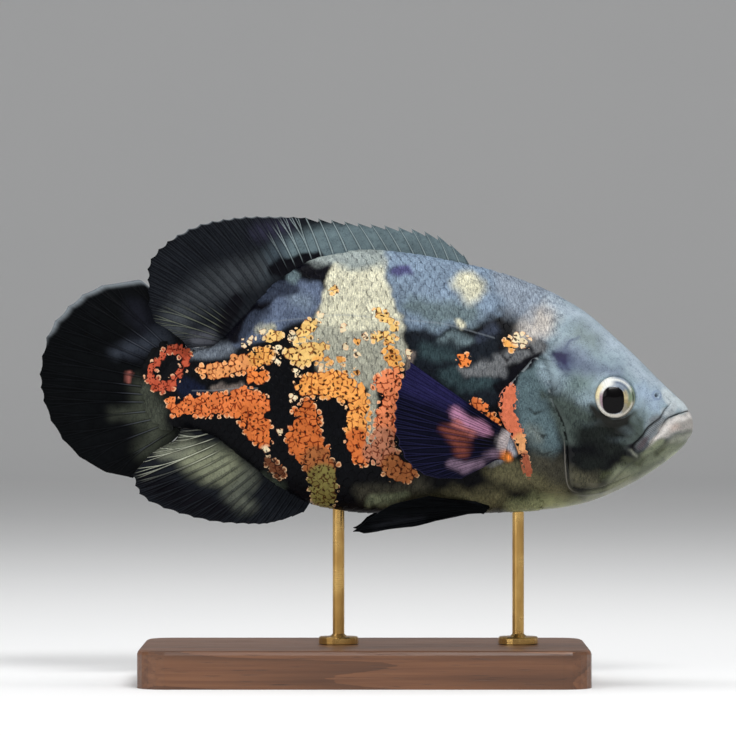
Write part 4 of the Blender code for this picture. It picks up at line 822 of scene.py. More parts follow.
def make_skin():
    behind = rings_behind()
    around = np.concatenate((np.linspace(-1, 1, POINTS_UP + 1), np.linspace(1, -1, POINTS_UP + 1)[1:-1]))
    sides = np.concatenate((np.full(POINTS_UP + 1, -1.0), np.full(POINTS_UP - 1, 1.0)))
    rings, columns = len(behind), len(around)
    b, share = np.meshgrid(behind, around, indexing="ij")
    side = np.broadcast_to(sides, b.shape)
    height, aside = round_body(b, share)
    points = place(b, height, side * aside).reshape(-1, 3)
    quads = grid_faces(rings, columns, closed=True)
    out = point_normals(points, quads)
    if np.sum(out[:, 1] * side.ravel()) < 0:
        out = -out
        quads = quads[:, ::-1]
    flat_b, flat_h = b.ravel(), height.ravel()
    points = points + out * skin_rise(flat_b, flat_h)[:, None]
    ends = np.stack((place(0.0, -0.0110, 0.0), place(BODY_END + 0.0010, 0.0040, 0.0)))
    points = np.vstack((points, ends))
    step = np.arange(columns)
    after = (step + 1) % columns
    nose = np.stack((np.full(columns, len(points) - 2), step, after), -1)
    rear = (rings - 1) * columns
    stern = np.stack((np.full(columns, len(points) - 1), rear + after, rear + step), -1)
    if out[0, 0] * 0 + np.cross(points[nose[0, 1]] - ends[0], points[nose[0, 2]] - ends[0])[0] < 0:
        nose, stern = nose[:, ::-1], stern[:, ::-1]
    length = np.where(share > 0, on_table(lengths_up, b, 0), on_table(lengths_down, b, 0))
    spots = on_sheet(flat_b, (share * length).ravel(), side.ravel())
    spots = np.vstack((spots, on_sheet(np.array([0.0, BODY_END]), np.zeros(2), np.array([-1.0, -1.0]))))
    face_sets = (quads, nose, stern)
    corner_spots = np.concatenate([spots[faces.ravel()] for faces in face_sets])
    finish = make_skin_finish()
    piece = new_piece("skin", points, face_sets, finish,
                      ("head", "upper_lip", "lower_jaw", "torso", "tail_stem"), corner_spots)
    every_b = np.append(flat_b, (0.0, BODY_END))
    every_h = np.append(flat_h, (-0.0110, 0.0040))
    paint = painted(NAVY, GROUND, every_b, every_h, seed=11)
    # The jaw's fold is painted darker along its crease: painted shade
    off, along, _ = off_line(jaw_fold, every_b, every_h)
    paint += 0.3 * mound(off, 0.0008)[:, None] * (np.array(tone(14, 14, 16)) - paint)
    # The nostril's pit is painted dark, a painted shade inside it; its rim is a blue-grey ring
    off = np.hypot(every_b - NOSTRIL[0], every_h - NOSTRIL[1])
    paint += mound(off, 0.0007)[:, None] * (np.array(tone(40, 48, 66)) - paint)
    paint += 0.5 * mound(off - 0.0018, 0.0004)[:, None] * (np.array(tone(96, 112, 150)) - paint)
    store(piece, "paint", paint)
    off, run, way = off_line(maxilla_groove, every_b, every_h)
    inside = (way > 0) * smooth_step(0.0034, 0.0026, off) if False else (way > 0) * (1 - smooth_step(0.0024, 0.0032, off))
    store(piece, "strip", inside * smooth_step(0.1, 0.3, run))
    store(piece, "strip_run", every_b * 0.62 - every_h * 0.78)
    store_lines(piece, every_b, every_h)
    return piece


skin = make_skin()


# Each gill cover is a thin bony plate under skin. Its front edge lies level with the cheek's fold, and its
# rounded rear edge stands free, just proud of the shoulder.

GILL_COVER_OUTLINE = (
    (0.0613, 0.0021), (0.0625, 0.0110), (0.0673, 0.0183), (0.0728, 0.0136), (0.0775, 0.0085),
    (0.0828, 0.0030), (0.0838, -0.0040), (0.0805, -0.0120), (0.0770, -0.0180), (0.0748, -0.0240),
    (0.0725, -0.0325), (0.0635, -0.0390), (0.0520, -0.0370), (0.0541, -0.0277), (0.0554, -0.0170),
    (0.0579, -0.0077),
)
GILL_PROUD_FRONT = 0.0002
GILL_PROUD_REAR = 0.0010
GILL_DEPTH = 0.0009
gill_outline = fair_line(GILL_COVER_OUTLINE * 2, 10)[160:320]
GILL_FRONT, GILL_REAR = gill_outline[:, 0].min(), gill_outline[:, 0].max()


def gill_proud(behind):
    share = np.clip((behind - GILL_FRONT) / (GILL_REAR - GILL_FRONT), 0, 1)
    return GILL_PROUD_FRONT + (GILL_PROUD_REAR - GILL_PROUD_FRONT) * share


def past_gill(behind, height):
    return past_field([tuple(p) for p in gill_outline[::4]], behind, height)


WAIST_ORANGE = tone(218, 156, 104)
GILL_RED = tone(150, 82, 58)
GILL_ORANGE = tone(206, 112, 80)
DEEP_ORANGE = tone(226, 128, 62)
GILL_MARKS = {
    "band along the gill cover": (GILL_ORANGE, True, ((0.0785, 0.0045, 0.0030), (0.0795, 0.0005, 0.0040),
                                                      (0.0797, -0.0055, 0.0036), (0.0775, -0.0105, 0.0034),
                                                      (0.0750, -0.0145, 0.0031))),
    "waist of the band": (WAIST_ORANGE, True, ((0.0742, -0.0168, 0.0026), (0.0730, -0.0210, 0.0024))),
    "foot of the band": (GILL_RED, True, ((0.0722, -0.0240, 0.0022), (0.0714, -0.0275, 0.0024),
                                          (0.0706, -0.0305, 0.0022))),
}
GILL_RINGS = 26
GILL_EDGE_ROUND = 0.0009


def marks_at(marks, behind, height):
    """How far places are outside all the marks, less than 0 inside them, and the colour of the nearest one."""
    past = np.full(np.shape(behind), 0.02)
    colours = np.tile(np.array(DEEP_ORANGE), np.shape(behind) + (1,))
    for colour, covers, stroke in marks.values():
        away = past_stroke(stroke, behind, height)
        past = np.minimum(past, away) if covers else np.maximum(past, -away)
        share = 1 - smooth_step(-0.0006, 0.0016, away)
        colours += share[..., None] * (np.array(colour) - colours)
    return past, colours


def make_gill_cover(side, word):
    centre = gill_outline.mean(axis=0)
    shares = 1 - (1 - np.linspace(0, 1, GILL_RINGS + 1)[1:]) ** 1.5
    flat = centre + (gill_outline - centre) * shares[:, None, None]
    b, h = flat[..., 0].ravel(), flat[..., 1].ravel()
    from_edge = -past_gill(b, h)
    roll = 1 - np.sqrt(1 - (1 - np.clip(from_edge / GILL_EDGE_ROUND, 0, 1)) ** 2)
    outer = half_breadth(b, h) + gill_proud(b) - roll * gill_proud(b) * 0.7
    count = len(gill_outline)
    middle = half_breadth(*centre) + gill_proud(centre[0])
    under = gill_outline - (gill_outline - centre) * 0.02
    inner = half_breadth(under[:, 0], under[:, 1]) - GILL_DEPTH
    points = np.vstack((
        place(b, h, side * outer),
        place(under[:, 0], under[:, 1], side * inner),
        place(centre[0], centre[1], side * middle)[None],
        place(centre[0], centre[1], side * (middle - GILL_DEPTH * 2))[None],
    ))
    quads = grid_faces(GILL_RINGS + 1, count, closed=True)
    step = np.arange(count)
    after = (step + 1) % count
    hub = (GILL_RINGS + 1) * count
    front = np.stack((np.full(count, hub), step, after), -1)
    back = np.stack((np.full(count, hub + 1), GILL_RINGS * count + after, GILL_RINGS * count + step), -1)
    if side > 0:
        quads, front, back = quads[:, ::-1], front[:, ::-1], back[:, ::-1]
    heights = np.concatenate((h, under[:, 1], (centre[1],) * 2))
    behinds = np.concatenate((b, under[:, 0], (centre[0],) * 2))
    spots = on_sheet(behinds, heights, np.full(len(behinds), side))
    corner_spots = np.concatenate([spots[faces.ravel()] for faces in (quads, front, back)])
    piece = new_piece("gill_cover_skin_" + word, points, (quads, front, back), skin.data.materials[0],
                      ("gill_cover_" + word,), corner_spots)
    paint = painted(NAVY, GROUND, behinds, heights, seed=11)
    past, mark = marks_at(GILL_MARKS, behinds, heights)
    paint += (1 - smooth_step(-0.0003, 0.0005, past))[:, None] * (mark - paint)
    from_rim = -past_gill(behinds, heights)
    store_lines(piece, behinds, heights)
    # A pale line is painted just inside the cover's free edge on its upper part: a painted highlight where the edge
    # catches the light from above
    edge = 0.6 * mound(from_rim - 0.0006, 0.0004) * smooth_step(-0.002, 0.006, heights)
    paint += edge[:, None] * (np.array(tone(150, 160, 164)) - paint)
    store(piece, "paint", paint)


for side, word in ((-1, "right"), (1, "left")):
    make_gill_cover(side, word)


# The scales are thin overlapping plates in rows along the body, each set in the skin at its front and free at
# its round rear edge. They are large on the flank and small on the nape, the cheeks and the tail's stem.

BRIGHT_ORANGE = tone(240, 164, 84)
AMBER = tone(226, 162, 84)
YELLOW = tone(232, 192, 116)
CORAL = tone(236, 140, 94)
RED_ORANGE = tone(222, 122, 66)
BAR_ORANGE = tone(208, 112, 56)
BAR_BROWN = tone(198, 106, 52)
SOFT_ORANGE = tone(228, 154, 94)
RING_RED = tone(186, 84, 58)
SALMON = tone(190, 126, 96)
RUSSET = tone(158, 96, 54)
DUSK_BROWN = tone(104, 62, 40)
OLIVE_GOLD = tone(118, 110, 60)
PALE = tone(228, 214, 178)
PEACH = tone(246, 214, 172)
DOT_BROWN = tone(48, 18, 10)

# The marks of a flank by what they are, each a colour, whether it covers or clears, and a brush stroke
MARKS = {
    "eye spot on the tail's root": (RING_RED, True, ((0.2262, 0.0102, 0.0078), (0.2204, 0.0174, 0.0074))),
    "dark middle of the eye spot": (RING_RED, False, ((0.2250, 0.0120, 0.0031), (0.2216, 0.0162, 0.0029))),
    "upper rear band": (SOFT_ORANGE, True, ((0.2085, 0.0125, 0.0030), (0.2040, 0.0120, 0.0043),
                                            (0.1995, 0.0120, 0.0043))),
    "upper rear band, front": (SOFT_ORANGE, True, ((0.1945, 0.0150, 0.0047), (0.1895, 0.0160, 0.0052))),
    "step to the yellow": (AMBER, True, ((0.1840, 0.0183, 0.0047), (0.1808, 0.0190, 0.0043))),
    "yellow cluster on the slate": (YELLOW, True, ((0.1810, 0.0255, 0.0025), (0.1780, 0.0270, 0.0040))),
    "yellow cluster at the saddle": (YELLOW, True, ((0.1690, 0.0265, 0.0030), (0.1650, 0.0285, 0.0040),
                                                    (0.1620, 0.0315, 0.0036))),
    "long yellow cluster": (YELLOW, True, ((0.1714, 0.0204, 0.0034), (0.1668, 0.0190, 0.0055),
                                           (0.1613, 0.0204, 0.0051), (0.1580, 0.0229, 0.0034))),
    "yellow spot in the saddle": (YELLOW, True, ((0.1533, 0.0467, 0.0021),)),
    "small orange link": (DEEP_ORANGE, True, ((0.1876, 0.0098, 0.0034), (0.1837, 0.0102, 0.0038))),
    "lower rear band": (RED_ORANGE, True, ((0.2226, -0.0004, 0.0026), (0.2196, -0.0038, 0.0043),
                                           (0.2132, -0.0025, 0.0051), (0.2046, -0.0021, 0.0055),
                                           (0.1978, -0.0016, 0.0055), (0.1906, -0.0012, 0.0077),
                                           (0.1845, -0.0020, 0.0054))),
    "first bar": (BAR_ORANGE, True, ((0.1880, -0.0067, 0.0064), (0.1851, -0.0126, 0.0064),
                                     (0.1829, -0.0173, 0.0043))),
    "foot of the first bar": (DUSK_BROWN, True, ((0.1809, -0.0258, 0.0026), (0.1762, -0.0305, 0.0034))),
    "bright cluster": (BRIGHT_ORANGE, True, ((0.1651, 0.0064, 0.0047), (0.1579, 0.0070, 0.0068),
                                             (0.1498, 0.0065, 0.0064), (0.1452, 0.0022, 0.0055))),
    "third bar, upper part": (BRIGHT_ORANGE, True, ((0.1427, 0.0035, 0.0047), (0.1422, -0.0041, 0.0055),
                                                    (0.1431, -0.0125, 0.0055))),
    "third bar, lower part": (BAR_ORANGE, True, ((0.1431, -0.0176, 0.0055), (0.1414, -0.0235, 0.0047))),
    "second bar, upper lobe": (BAR_ORANGE, True, ((0.1692, -0.0048, 0.0020), (0.1650, -0.0030, 0.0026))),
    "second bar": (BAR_BROWN, True, ((0.1642, -0.0016, 0.0034), (0.1638, -0.0083, 0.0064),
                                      (0.1659, -0.0168, 0.0081), (0.1613, -0.0232, 0.0077))),
    "second bar, dusky part": (RUSSET, True, ((0.1540, -0.0285, 0.0040), (0.1596, -0.0270, 0.0072), (0.1571, -0.0304, 0.0060))),
    "foot of the second bar": (OLIVE_GOLD, True, ((0.1575, -0.0346, 0.0072), (0.1571, -0.0407, 0.0060),
                                                  (0.1551, -0.0460, 0.0026))),
    "yellow spots by the saddle's front": (YELLOW, True, ((0.1340, 0.0370, 0.0026), (0.1300, 0.0340, 0.0026),
                                                          (0.1275, 0.0310, 0.0024))),
    "yellow spots on the window": (YELLOW, True, ((0.1363, 0.0263, 0.0021), (0.1313, 0.0271, 0.0030),
                                                  (0.1283, 0.0246, 0.0030))),
    "amber spots at the fin": (AMBER, True, ((0.1300, 0.0215, 0.0030), (0.1275, 0.0175, 0.0040),
                                             (0.1265, 0.0130, 0.0030))),
    "front bar": (CORAL, True, ((0.1334, 0.0069, 0.0043), (0.1288, 0.0077, 0.0060), (0.1279, 0.0001, 0.0055),
                                (0.1300, -0.0062, 0.0060), (0.1309, -0.0125, 0.0055))),
    "front bar, dusky part": (SALMON, True, ((0.1325, -0.0176, 0.0060), (0.1351, -0.0218, 0.0051),
                                             (0.1300, -0.0243, 0.0060))),
    "foot of the front bar": (RUSSET, True, ((0.1271, -0.0286, 0.0060), (0.1216, -0.0307, 0.0047))),
    "shoulder branch": (RED_ORANGE, True, ((0.0938, -0.0011, 0.0026), (0.0900, -0.0036, 0.0034))),
    "shoulder link": (DEEP_ORANGE, True, ((0.0871, -0.0066, 0.0024), (0.0836, -0.0093, 0.0022))),
    "shoulder spot": (DEEP_ORANGE, True, ((0.0983, 0.0171, 0.0034),)),
    "nape spot, rear": (AMBER, True, ((0.0784, 0.0237, 0.0034),)),
    "nape spot, front": (PALE, True, ((0.0748, 0.0262, 0.0030), (0.0718, 0.0242, 0.0026))),
}
# Single pale scales, by the place of their middle
LONE_RADIUS = 0.0018
LONE_SCALES = (
    (0.1827, 0.0297), (0.1885, 0.0255), (0.1848, 0.0257), (0.1763, 0.0221), (0.1767, 0.0166),
    (0.1710, 0.0272), (0.1685, 0.0119), (0.1702, 0.0010), (0.1761, -0.0139), (0.1395, 0.0267),
    (0.1427, 0.0200), (0.1591, 0.0145), (0.1817, -0.0215), (0.1224, 0.0010), (0.1482, 0.0233), (0.1490, 0.0304),
    (0.1585, 0.0355), (0.1215, 0.0195), (0.1915, 0.0240),
)
AMBER_SCALES = (
    (0.1546, 0.0153), (0.1500, 0.0172), (0.1377, 0.0176), (0.1433, 0.0121), (0.1500, 0.0145), (0.1430, 0.0250),
    (0.1560, 0.0175), (0.1600, 0.0165),
)
for scales, paint in ((LONE_SCALES, PALE), (AMBER_SCALES, AMBER)):
    for place_b, place_h in scales:
        MARKS["lone scale %.4f %.4f" % (place_b, place_h)] = (paint, True, ((place_b, place_h, LONE_RADIUS),))
# How far apart scales are along a row, by the distance behind the lip
FLANK_SPACING = (
    (0.0300, 0.0020), (0.0500, 0.0024), (0.0700, 0.0031), (0.0900, 0.0037), (0.1100, 0.0041), (0.1450, 0.0041),
    (0.1650, 0.0038), (0.1900, 0.0034), (0.2100, 0.0029), (0.2300, 0.0024), (0.2400, 0.0023),
)
CHEEK_SPACING = ((0.0200, 0.0024), (0.0500, 0.0026), (0.0900, 0.0028))
GILL_SPACING = ((0.0400, 0.0022), (0.0900, 0.0022))
ROW_SHARE = 0.88
ARC_RADIUS = 0.62
ARC_BACK = -0.12
ROOT_PLACE = -1.0
BLOTS_PER_METRE = 400.0
BLOT_RADIUS = 1.22
# Where the pored line runs: from, to and the row of scales
LATERAL_LINES = ((0.0860, 0.1780, 9), (0.1840, 0.2200, 0))


def vane(across, lengthwise):
    """One scale's points in units of its spacing: its top as a grid, then a lower rim, with its faces."""
    turn = np.radians(np.linspace(-82, 82, across))
    u = 1 - (1 - np.linspace(0, 1, lengthwise)) ** 1.35
    edge_y = ARC_RADIUS * np.sin(turn)
    edge_x = ARC_BACK + ARC_RADIUS * np.cos(turn)
    x = ROOT_PLACE + (edge_x - ROOT_PLACE) * u[:, None]
    y = edge_y * (0.72 + 0.28 * u[:, None])
    rise = (x - ROOT_PLACE) / (ARC_BACK + ARC_RADIUS - ROOT_PLACE)
    lift = rise + 0.14 * (1 - (y / ARC_RADIUS) ** 2) * rise
    first, last = across * (lengthwise - 1), across * lengthwise
    border = np.concatenate((
        np.arange(across), np.arange(2 * across - 1, last, across),
        np.arange(last - 2, first - 1, -1), np.arange(first - across, 0, -across),
    ))
    top = np.stack((x.ravel(), y.ravel(), lift.ravel()), -1)
    low = top[border] * (0.985, 0.985, 1.0) - (0.0, 0.0, 0.45)
    count = len(top)
    ring = np.arange(len(border))
    after = (ring + 1) % len(border)
    rim = np.stack((border[ring], count + ring, count + after, border[after]), -1)
    bottom = (count + ring)[None, ::-1]
    return np.vstack((top, low)), grid_faces(lengthwise, across)[:, ::-1], rim[:, ::-1], bottom[:, ::-1]


def lay_scales(name, side, spacing, keep, relief, marks, seed, shape=(8, 7), raised=None, lines=(),
               surface=on_flank, painted_shading=1.0, fineness=1.0):
    """A coat of overlapping scales over the part of a flank where keep says so, as meshes of at most about 190,000
    triangles each.
    """
    drawn = np.random.default_rng(seed + (side > 0))
    run = np.linspace(spacing[0][0], spacing[-1][0], 4000)
    size = smooth_through(spacing, run)
    steps = np.concatenate(([0], np.cumsum((run[1] - run[0]) / size[:-1])))
    n, at = np.meshgrid(np.arange(-26, 27), np.arange(1, int(steps[-1]) - 1), indexing="ij")
    at = at + 0.5 * (n % 2)
    b = np.interp(at, steps, run)
    spacing_here = np.interp(b, run, size)
    along = n * ROW_SHARE * spacing_here
    tube = np.zeros(b.shape)
    for start, end, row in lines:
        tube[(n == row) & (b > start) & (b < end)] = 1.0
    h = surface(b, along, side)[1]
    use = keep(b, h, along, spacing_here)
    b, h, at, n, along, tube = (v[use] for v in (b, h, at, n, along, tube))
    order = np.argsort(b)
    template, tops, rims, bottom = vane(*shape)
    triangles = 2 * len(tops) + 2 * len(rims) + bottom.shape[1] - 2
    pieces = math.ceil(len(b) * triangles / 190000)
    for number, chosen in enumerate(np.array_split(order, pieces)):
        count = len(chosen)
        turn = 0.05 * drawn.normal(size=(count, 1))
        x = template[:, 0] + 0 * turn
        y = template[:, 1] + turn * (template[:, 0] + 1)
        point_at = at[chosen, None] + x
        point_b = np.interp(point_at, steps, run)
        point_along = (n[chosen, None] + y / ROW_SHARE) * ROW_SHARE * np.interp(point_b, run, size)
        base, point_h = surface(point_b, point_along, side)
        out = surface_normal(surface, point_b, point_along, side)
        lift = relief(point_b) * (template[:, 2] - 0.25) * (1 + 0.12 * drawn.normal(size=(count, 1)))
        if raised is not None:
            lift = lift + raised(point_b)
        points = (base + out * lift[..., None]).reshape(-1, 3)
        starts = (np.arange(count) * len(template))[:, None, None]
        face_sets = [(starts + faces[None]).reshape(-1, faces.shape[1]) for faces in (tops, rims, bottom)]
        if side > 0:
            face_sets = [faces[:, ::-1] for faces in face_sets]
        patch = on_sheet(b[chosen, None], along[chosen, None], np.full((count, 1), side))
        patch = patch + 0.002 * (template[:, :2] + (0.25, 0.0))
        patch = patch.reshape(-1, 2)
        corner_spots = np.concatenate([patch[faces.ravel()] for faces in face_sets])
        piece = new_piece("%s_%d" % (name, number + 1), points, face_sets, scale_finish, (), corner_spots)
        flat_b, flat_along, flat_h = point_b.ravel(), point_along.ravel(), point_h.ravel()
        past, mark = marks_at(marks, flat_b, flat_h)
        slopes = [
            (marks_at(marks, flat_b + step_b, surface(flat_b + step_b, flat_along + step_up, side)[1])[0] - past)
            / SLOPE_STEP for step_b, step_up in ((SLOPE_STEP, 0.0), (0.0, SLOPE_STEP))
        ]
        ground = painted(NAVY, GROUND, flat_b, flat_h, seed=11)
        bright = ground[:, :3].mean(axis=1)
        spread = np.repeat(np.arange(count), len(template))
        ground[:, :3] *= (1 + 0.05 * drawn.normal(size=count))[spread, None]
        # The ground's alpha is how strongly each scale's painted shade and painted highlight show
        ground[:, 3] = painted_shading * smooth_step(0.03, 0.40, bright) * (0.15 + 0.85 * smooth_step(0.075, 0.115, flat_b))
        store(piece, "cell", np.stack((x.ravel(), y.ravel(), tube[chosen][spread]), -1))
        store(piece, "skin_place", np.stack((flat_b, flat_along, 0 * past + 0.001 * (fineness > 1)), -1) * fineness)
        store(piece, "ground", ground)
        store(piece, "mark", mark[:, :3])
        store(piece, "past", np.stack((past * 1000 * fineness, *slopes), -1))


def make_blots():
    """Clustered blots of pigment, each a small disc that lies by its middle inside or outside a mark. They run
    together inside it, and stand apart as lobes with a pale rim at its edge."""
    group, given, result = new_group(
        "clustered blots",
        {"Skin place": (0.0, 0.0, 0.0), "Cell": (0.0, 0.0, 0.0), "Past": (9.0, 0.0, 0.0)},
        {"Cover": "NodeSocketFloat", "Rim": "NodeSocketFloat", "Dots": "NodeSocketFloat",
         "Seams": "NodeSocketFloat", "Tint": "NodeSocketFloat"},
    )
    wander = node(group, "TexNoise", (given["Skin place"], None, 420.0, 1.0, 0.5), out=1)
    push = node(group, "VectorMath", (wander, (0.5, 0.5, 0.5)), operation="SUBTRACT")
    spot = node(group, "VectorMath", (push, (0.0014, 0.0014, 0.0), given["Skin place"]), operation="MULTIPLY_ADD")
    middle, tint = (node(group, "TexVoronoi", (spot, None, BLOTS_PER_METRE, 0.0, 0.0, 2.0, 1.0, 0.5, 0.8), out=out,
                         voronoi_dimensions="2D") for out in (2, 1))
    seam = node(group, "TexVoronoi", (spot, None, BLOTS_PER_METRE, 0.0, 0.0, 2.0, 1.0, 0.5, 0.8),
                voronoi_dimensions="2D", feature="DISTANCE_TO_EDGE")
    fine = node(group, "TexNoise", (given["Skin place"], None, 1300.0, 2.0, 0.6))
    reach = node(group, "VectorMath", (middle, spot), operation="SUBTRACT")
    past, slope_x, slope_y = (node(group, "SeparateXYZ", (given["Past"],), out=axis) for axis in range(3))
    slope = node(group, "CombineXYZ", (slope_x, slope_y, 0.0))
    rise = node(group, "VectorMath", (reach, slope), out=1, operation="DOT_PRODUCT")
    past_middle = maths(group, "MULTIPLY_ADD", rise, 1000.0, past)
    away = maths(group, "MULTIPLY", node(group, "VectorMath", (reach,), out=1, operation="LENGTH"), 1000.0)
    radius = maths(group, "MULTIPLY_ADD", between(group, past_middle, -0.9, -2.2), 1.8, BLOT_RADIUS)
    marked = between(group, past_middle, 0.55, -0.55)
    radius = maths(group, "MULTIPLY_ADD", maths(group, "ADD", radius, 0.9), marked, -0.9)
    away = maths(group, "MULTIPLY_ADD", maths(group, "SUBTRACT", fine, 0.5), 0.5, away)
    near = maths(group, "SUBTRACT", away, radius)
    join(group, result["Cover"], between(group, near, 0.09, -0.09))
    rim = maths(group, "MULTIPLY", between(group, near, -0.80, -0.12), between(group, past, -1.9, -0.2))
    join(group, result["Rim"], rim)
    jostle = node(group, "TexNoise", (given["Skin place"], None, 260.0, 1.0, 0.5), out=1)
    jostled = node(group, "VectorMath", (jostle, (0.5, 0.5, 0.5)), operation="SUBTRACT")
    jostled = node(group, "VectorMath", (jostled, (0.9, 0.9, 0.0), given["Cell"]), operation="MULTIPLY_ADD")
    x, y = (maths(group, "ABSOLUTE", node(group, "SeparateXYZ", (jostled,), out=axis)) for axis in (0, 1))
    shift = maths(group, "MULTIPLY", maths(group, "SUBTRACT", fine, 0.5), 0.26)
    to_corner = 9.0
    for corner_x, corner_y in ((0.5, 0.298), (0.0, 0.582)):
        across = maths(group, "MULTIPLY", maths(group, "SUBTRACT", x, corner_x), 1.25)
        corner = node(group, "CombineXYZ", (across, maths(group, "SUBTRACT", y, corner_y), 0.0))
        length = node(group, "VectorMath", (corner,), out=1, operation="LENGTH")
        to_corner = maths(group, "MINIMUM", length, to_corner)
    present = between(group, node(group, "TexNoise", (given["Skin place"], None, 210.0, 1.0, 0.5)), 0.40, 0.48)
    dots = between(group, maths(group, "ADD", to_corner, shift), 0.185, 0.130)
    dots = maths(group, "MULTIPLY", dots, present)
    round_dots = between(group, away, 0.80, 0.58)
    on_gill = between(group, node(group, "SeparateXYZ", (given["Skin place"],), out=2), 0.0004, 0.0008)
    join(group, result["Dots"], node(group, "Mix", (on_gill, None, dots, round_dots)))
    broken = between(group, node(group, "TexNoise", (given["Skin place"], None, 330.0, 1.0, 0.5)), 0.45, 0.53)
    broken = maths(group, "MULTIPLY", broken, maths(group, "SUBTRACT", 1.0, on_gill))
    join(group, result["Seams"], maths(group, "MULTIPLY", between(group, seam, 0.17, 0.05), broken))
    join(group, result["Tint"], node(group, "SeparateColor", (tint,)))
    return group


def make_scale_finish():
    """Scales painted over as one: the ground colour darkens in each scale's pocket as painted shade and pales a little
    towards each free edge as a painted highlight, and the marks lie over it.
    """
    finish, tree, shader = new_finish(
        "painted_scales", roughness=0.40, coat_weight=0.01, coat_roughness=0.25, specular_ior_level=0.05)
    cell = stored(tree, "cell", out=1)
    x, y, tube = (node(tree, "SeparateXYZ", (cell,), out=axis) for axis in range(3))
    skin_place = stored(tree, "skin_place", out=1)
    blots = grouped(tree, make_blots(), skin_place=skin_place, cell=cell, past=stored(tree, "past", out=1))
    reach = node(tree, "CombineXYZ", (maths(tree, "SUBTRACT", x, ARC_BACK), y, 0.0))
    edge = maths(tree, "DIVIDE", node(tree, "VectorMath", (reach,), out=1, operation="LENGTH"), ARC_RADIUS)
    reach = node(tree, "CombineXYZ", (maths(tree, "SUBTRACT", x, ARC_BACK - 1.0), y, 0.0))
    pocket = maths(tree, "DIVIDE", node(tree, "VectorMath", (reach,), out=1, operation="LENGTH"), ARC_RADIUS)
    painted_shading = stored(tree, "ground", out=3)
    ragged = node(tree, "TexNoise", (node(tree, "VectorMath", (skin_place, (1500.0, 700.0, 1.0)), operation="MULTIPLY"),
                                     None, 1.0, 2.0, 0.6))
    # Just behind the edge of the scale ahead, each scale's pocket is painted darker in broken dashes: painted shade
    pocket_shade = maths(tree, "MULTIPLY", between(tree, pocket, 1.42, 1.05), between(tree, ragged, 0.36, 0.60))
    grains = grouped(tree, speckle, colour=stored(tree, "ground"), amount=0.55, grains_per_metre=1500.0)
    dark = maths(tree, "MULTIPLY", pocket_shade, maths(tree, "MULTIPLY_ADD", painted_shading, 0.66, 0.10))
    ground = blended(tree, dark, grains["Colour"], (0.16, 0.17, 0.18, 1.0), "MULTIPLY")
    upright = node(tree, "TexNoise", (node(tree, "VectorMath", (skin_place, (2100.0, 420.0, 1.0)), operation="MULTIPLY"),
                                      None, 1.0, 2.0, 0.6))
    ground = blended(tree, between(tree, upright, 0.56, 0.30), ground, (0.60, 0.61, 0.64, 1.0), "MULTIPLY")
    ground = blended(tree, between(tree, upright, 0.48, 0.75), ground, (1.36, 1.36, 1.34, 1.0), "MULTIPLY")
    # Each scale is painted a little paler towards its raised free edge: a painted highlight
    crescent_highlight = maths(tree, "MULTIPLY", between(tree, edge, 0.55, 0.95), maths(tree, "MULTIPLY", painted_shading, 0.12))
    ground = blended(tree, crescent_highlight, ground, (1.5, 1.5, 1.5, 1.0), "MULTIPLY")
    tubes = maths(tree, "MULTIPLY", tube, between(tree, maths(tree, "ABSOLUTE", y), 0.15, 0.05))
    ground = blended(tree, maths(tree, "MULTIPLY", tubes, 0.25), ground, tone(140, 148, 156))
    lit = blended(tree, blots["Tint"], (0.86, 0.82, 0.80, 1.0), (1.12, 1.14, 1.16, 1.0))
    mark = blended(tree, 1.0, stored(tree, "mark"), lit, "MULTIPLY")
    mark = blended(tree, maths(tree, "MULTIPLY", blots["Rim"], 0.62), mark, PEACH)
    mark = blended(tree, maths(tree, "MULTIPLY", blots["Seams"], 0.90), mark, (0.26, 0.09, 0.06, 1.0), "MULTIPLY")
    mark = blended(tree, maths(tree, "MULTIPLY", blots["Dots"], 0.92), mark, DOT_BROWN)
    join(tree, shader.inputs["Base Color"], blended(tree, blots["Cover"], ground, mark))
    ridges = maths(tree, "SINE", maths(tree, "MULTIPLY", edge, 42.0))
    height = maths(tree, "MULTIPLY_ADD", ridges, 0.08, grains["Height"])
    height = maths(tree, "MULTIPLY_ADD", tubes, 1.2, height)
    height = maths(tree, "MULTIPLY_ADD", blots["Dots"], -0.6, height)
    join(tree, shader.inputs["Normal"], bumped(tree, height, 0.00006, 0.6))
    return finish


scale_finish = make_scale_finish()
TAIL_ROOT_FROM = 0.2120
CHEEK_PATCH = ((0.0560, 0.0110), (0.0600, 0.0010), (0.0572, -0.0080), (0.0540, -0.0180), (0.0532, -0.0300),
               (0.0500, -0.0365), (0.0400, -0.0340), (0.0300, -0.0260), (0.0300, -0.0180), (0.0340, -0.0130),
               (0.0420, -0.0110), (0.0470, 0.0000), (0.0480, 0.0080))


def on_body(behind, along, spacing):
    up, down = on_table(lengths_up, behind, 0), on_table(lengths_down, behind, 0)
    return (along < up - 0.2 * spacing) & (along > 0.2 * spacing - down) & (behind < BODY_END - 0.001)


def on_the_flank(behind, height, along, spacing):
    """The flank's scales begin on the nape, behind a line that slopes from the crown to the gill cover."""
    front = np.interp(height, (-0.045, -0.02, 0.0, 0.012, 0.02, 0.045), (0.066, 0.074, 0.080, 0.072, 0.062, 0.056))
    clear = past_gill(behind, height) > -0.0006
    return (behind > front) & clear & on_body(behind, along, spacing) & (behind < TAIL_ROOT_FROM)


def flank_relief(behind):
    return 0.00036 * np.interp(behind, (0.050, 0.090, 0.16, 0.23), (0.10, 0.9, 1.0, 0.8))


